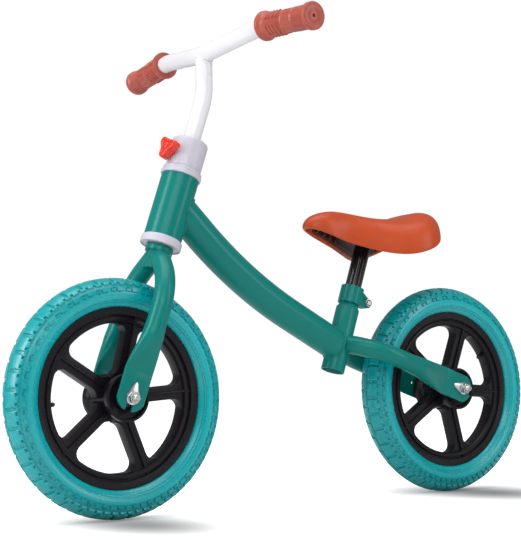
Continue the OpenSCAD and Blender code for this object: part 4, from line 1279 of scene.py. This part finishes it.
bm = saddleSolid(0.7, 1.4, saddle["sideIn"], saddle["topIn"] - 0.6, saddleStations(72),
                 saddle["sides"])
bm.verts.ensure_lookup_table()
held = []
for v in bm.verts:
    along = noseX - v.co.x / mm
    half, edge, top = saddleRow(along)
    inside = (abs(v.co.y / mm) < half - 3.5 and v.co.z / mm < top - 8) or v.co.z / mm < edge + 1.5
    if inside or along < 16 or along > 224:
        held.append(v.index)
mesh = bpy.data.meshes.new("saddlePad")
bm.to_mesh(mesh)
bm.free()
mesh = swollenPad(mesh, held, saddle)
bm = bmesh.new()
bm.from_mesh(mesh)
for v in bm.verts:  # small gathered folds along the lower edge of the nose
    along = noseX - v.co.x / mm
    half, edge, top = saddleRow(along)
    low = max(0.0, v.co.z / mm - edge)
    if low < 12 and 4 < along < 80:
        ripple = math.sin(along * 0.95 + 2.2 * noise.noise(v.co * 50)) * (1 - low / 12) ** 1.5
        fade = smoothStep((along - 4) / 14) * (1 - smoothStep((along - 50) / 28))
        v.co.y *= 1 - 0.012 * (1 + ripple) * fade
saddlePad = finished(bm, "saddle_padding", saddleSkin, "saddle", ("saddle_cover",),
                     sharp=80)
subdivide = saddlePad.modifiers.new("finer", "SUBSURF")
subdivide.levels = subdivide.render_levels = 1

bm = saddleSolid(5.6, saddle["topIn"] + 0.4, 8.0, saddle["topIn"] + 3.4,
                 saddleStations(40, 24.0, 206.0), 72, drop=6.0)
for along in (30, 42, 54, 66, 150, 176):  # stiffening ribs inside the shell

    def ribSpot(ring, angle, along=along):
        place = along + (0.9 if ring else -0.9)
        if angle <= math.pi + 1e-6:
            return archSpot(place, angle, 7.6, 18.2, 7.0)
        return archSpot(place, 2 * math.pi - angle, 12.5, 24.5, 7.0)

    rib = bmesh.new()
    ringedTube(rib, 2, 48, ribSpot)
    joinInto(bm, rib)
postTop = max((v.co - seatMiddle).dot(postAxis) for v in nodes["seat_post"].data.vertices)
bossPlace = standing(seatMiddle, postAxis)
spunProfile(bm, [(11.16, -12.8), (15.0, -12.8), (15.6, -12.0), (15.6, 3.0), (11.16, 3.0)],
            bossPlace @ Matrix.Translation((0, 0, postTop)), steps=48)
for turn in range(0, 360, 60):  # webs from the socket to the shell
    web = bmesh.new()
    bmesh.ops.create_cube(web, size=1.0)
    bmesh.ops.scale(web, vec=(13 * mm, 1.8 * mm, 9 * mm), verts=web.verts)
    bmesh.ops.translate(web, vec=(21.0 * mm, 0, -1.0 * mm), verts=web.verts)
    joinInto(bm, web, bossPlace @ Matrix.Translation((0, 0, postTop))
             @ Matrix.Rotation(math.radians(turn + 30), 4, "Z"))
finished(bm, "saddle_shell_ribbed", shellPlastic, "saddle", ("saddle_base",),
         sharp=35)
print("saddle made")

# the rest of the frame
for cadName, width in (("head_tube", 0.0), ("seat_tube", 0.5),
                       ("seat_clamp_collar", 0.6), ("fork_crown", 0.0), ("fork_bridge", 0.4)):
    refined(cadName, framePaint, bodyOf[cadName], width=width)
refined("seat_post", postPaint, "seat_post", width=0.0)
refined("seat_clamp_bolt", zincPlate, "frame", width=0.4, sharp=25)
refined("seat_clamp_nut", chromePlate, "frame", width=0.3, sharp=25)
for cadName, material in (("front_valve_stem", blackPlastic), ("rear_valve_stem", blackPlastic)):
    refined(cadName, material, bodyOf[cadName], width=0.0)
plain = {"front_hub_bearings": zincPlate, "rear_hub_bearings": zincPlate,
         "front_locknuts": zincPlate, "rear_locknuts": zincPlate, "steerer_tube": zincPlate,
         "collar_insert": zincPlate, "clamp_knob_bolt": zincPlate}
for cadName, material in plain.items():
    nodes[cadName].data.materials.clear()
    nodes[cadName].data.materials.append(material)
print("frame finished")

# floor, lights and camera
bpy.ops.mesh.primitive_plane_add(size=60, location=(0, 0, 0))
floor = bpy.context.object
floor.name = "studio_floor"
floorPaint = bpy.data.materials.new("studioFloor")
floorPaint.use_nodes = True
tree = floorPaint.node_tree
shader = tree.nodes["Principled BSDF"]
shader.inputs["Emission Strength"].default_value = 1.0
shader.inputs["Specular IOR Level"].default_value = 0.1
where = tree.nodes.new("ShaderNodeTexCoord").outputs["Object"]
tint = placed(tree, unevenColour, Color=(0.93, 0.93, 0.93, 1), Scale=1.2, Amount=0.02)
gloss = placed(tree, unevenGloss, Scale=2.0, Polished=0.7, Dull=0.85)
for used in (tint, gloss):
    tree.links.new(where, used.inputs["Vector"])
tree.links.new(gloss.outputs["Roughness"], shader.inputs["Roughness"])
flatter = Vector((1, 0.58, 1))
squashed = node(tree, "ShaderNodeVectorMath", operation="MULTIPLY")
squashed.inputs[1].default_value = flatter
tree.links.new(where, squashed.inputs[0])
soft = None
# the white sweep glows for the camera only; painted shadows round where the wheels stand darken its glow and its
# colour
glow = tree.nodes.new("ShaderNodeLightPath").outputs["Is Camera Ray"]
for spot, reach in ((frontAxle + Vector((0.01, 0.08, 0)), 0.155),
                    (rearAxle + Vector((-0.02, 0.07, 0)), 0.185)):
    apart = node(tree, "ShaderNodeVectorMath", operation="DISTANCE")
    apart.inputs[1].default_value = (spot.x, spot.y * flatter.y, 0)
    tree.links.new(squashed.outputs["Vector"], apart.inputs[0])
    shadowPool = node(tree, "ShaderNodeMapRange", From_Min=0.0, From_Max=reach, To_Min=0.0,
                To_Max=1.0)
    shadowPool.interpolation_type = "SMOOTHSTEP"
    tree.links.new(apart.outputs["Value"], shadowPool.inputs["Value"])
    both = node(tree, "ShaderNodeMath", operation="MULTIPLY")
    tree.links.new(glow, both.inputs[0])
    tree.links.new(shadowPool.outputs["Result"], both.inputs[1])
    glow = both.outputs["Value"]
    # painted shadow: the floor's base colour is darkened under each wheel as well
    shade = node(tree, "ShaderNodeMix", data_type="RGBA", blend_type="MULTIPLY")
    shade.inputs["Factor"].default_value = 0.6
    tree.links.new(soft or tint.outputs["Color"], shade.inputs["A"])
    tree.links.new(shadowPool.outputs["Result"], shade.inputs["B"])
    soft = shade.outputs["Result"]
tree.links.new(soft, shader.inputs["Base Color"])
tree.links.new(glow, shader.inputs["Emission Color"])
floor.data.materials.append(floorPaint)

world = bpy.data.worlds.new("studio")
world.use_nodes = True
scene.world = world
tree = world.node_tree
back = tree.nodes["Background"]
back.inputs["Color"].default_value = (1.0, 1.0, 1.0, 1)
seen = tree.nodes.new("ShaderNodeLightPath")
strength = node(tree, "ShaderNodeMapRange", To_Min=0.26, To_Max=1.02)
tree.links.new(seen.outputs["Is Camera Ray"], strength.inputs["Value"])
tree.links.new(strength.outputs["Result"], back.inputs["Strength"])

shot = {"place": (1.06187, 1.4227, 0.15967), "heading": -125.43, "pitch": 4.79, "roll": -1.25,
        "lens": 89.47}
heading, pitch, roll = (math.radians(shot[k]) for k in ("heading", "pitch", "roll"))
look = Vector((math.cos(pitch) * math.cos(heading), math.cos(pitch) * math.sin(heading),
               math.sin(pitch)))
right = look.cross(Vector((0, 0, 1))).normalized()
up = right.cross(look)
rolledRight = right * math.cos(roll) + up * math.sin(roll)
rolledUp = up * math.cos(roll) - right * math.sin(roll)
cameraData = bpy.data.cameras.new("camera")
cameraData.sensor_width = 36
cameraData.lens = shot["lens"]
cameraData.clip_start, cameraData.clip_end = 0.05, 60
camera = bpy.data.objects.new("camera", cameraData)
scene.collection.objects.link(camera)
camera.matrix_world = Matrix.Translation(shot["place"]) @ Matrix(
    (rolledRight, rolledUp, -look)).transposed().to_4x4()
scene.camera = camera

centre = Vector((0.02, 0, 0.3))
level = Vector((-look.x, -look.y, 0)).normalized()  # from the bike to the camera
sideOn = Vector((right.x, right.y, 0)).normalized()


def softbox(name, spot, size, power, colour=(1, 1, 1), aim=centre):
    data = bpy.data.lights.new(name, "AREA")
    data.shape = "RECTANGLE"
    data.size, data.size_y = size
    data.energy = power
    data.color = colour
    lamp = bpy.data.objects.new(name, data)
    scene.collection.objects.link(lamp)
    lamp.location = spot
    lamp.rotation_mode = "QUATERNION"
    lamp.rotation_quaternion = (aim - spot).to_track_quat("-Z", "Y")
    return lamp


softbox("leftBox", centre - sideOn * 1.7 + level * 1.0 + Vector((0, 0, 0.75)), (0.6, 1.5), 22)
softbox("rightBox", centre + sideOn * 1.9 + level * 0.7 + Vector((0, 0, 0.8)), (0.5, 1.5), 9)
softbox("overhead", centre + level * 0.3 + Vector((0, 0, 2.1)), (2.2, 1.6), 29)
softbox("frontFill", centre + level * 2.4 + Vector((0, 0, 1.3)) + sideOn * 0.3, (1.6, 1.0), 14)
print("stage set")
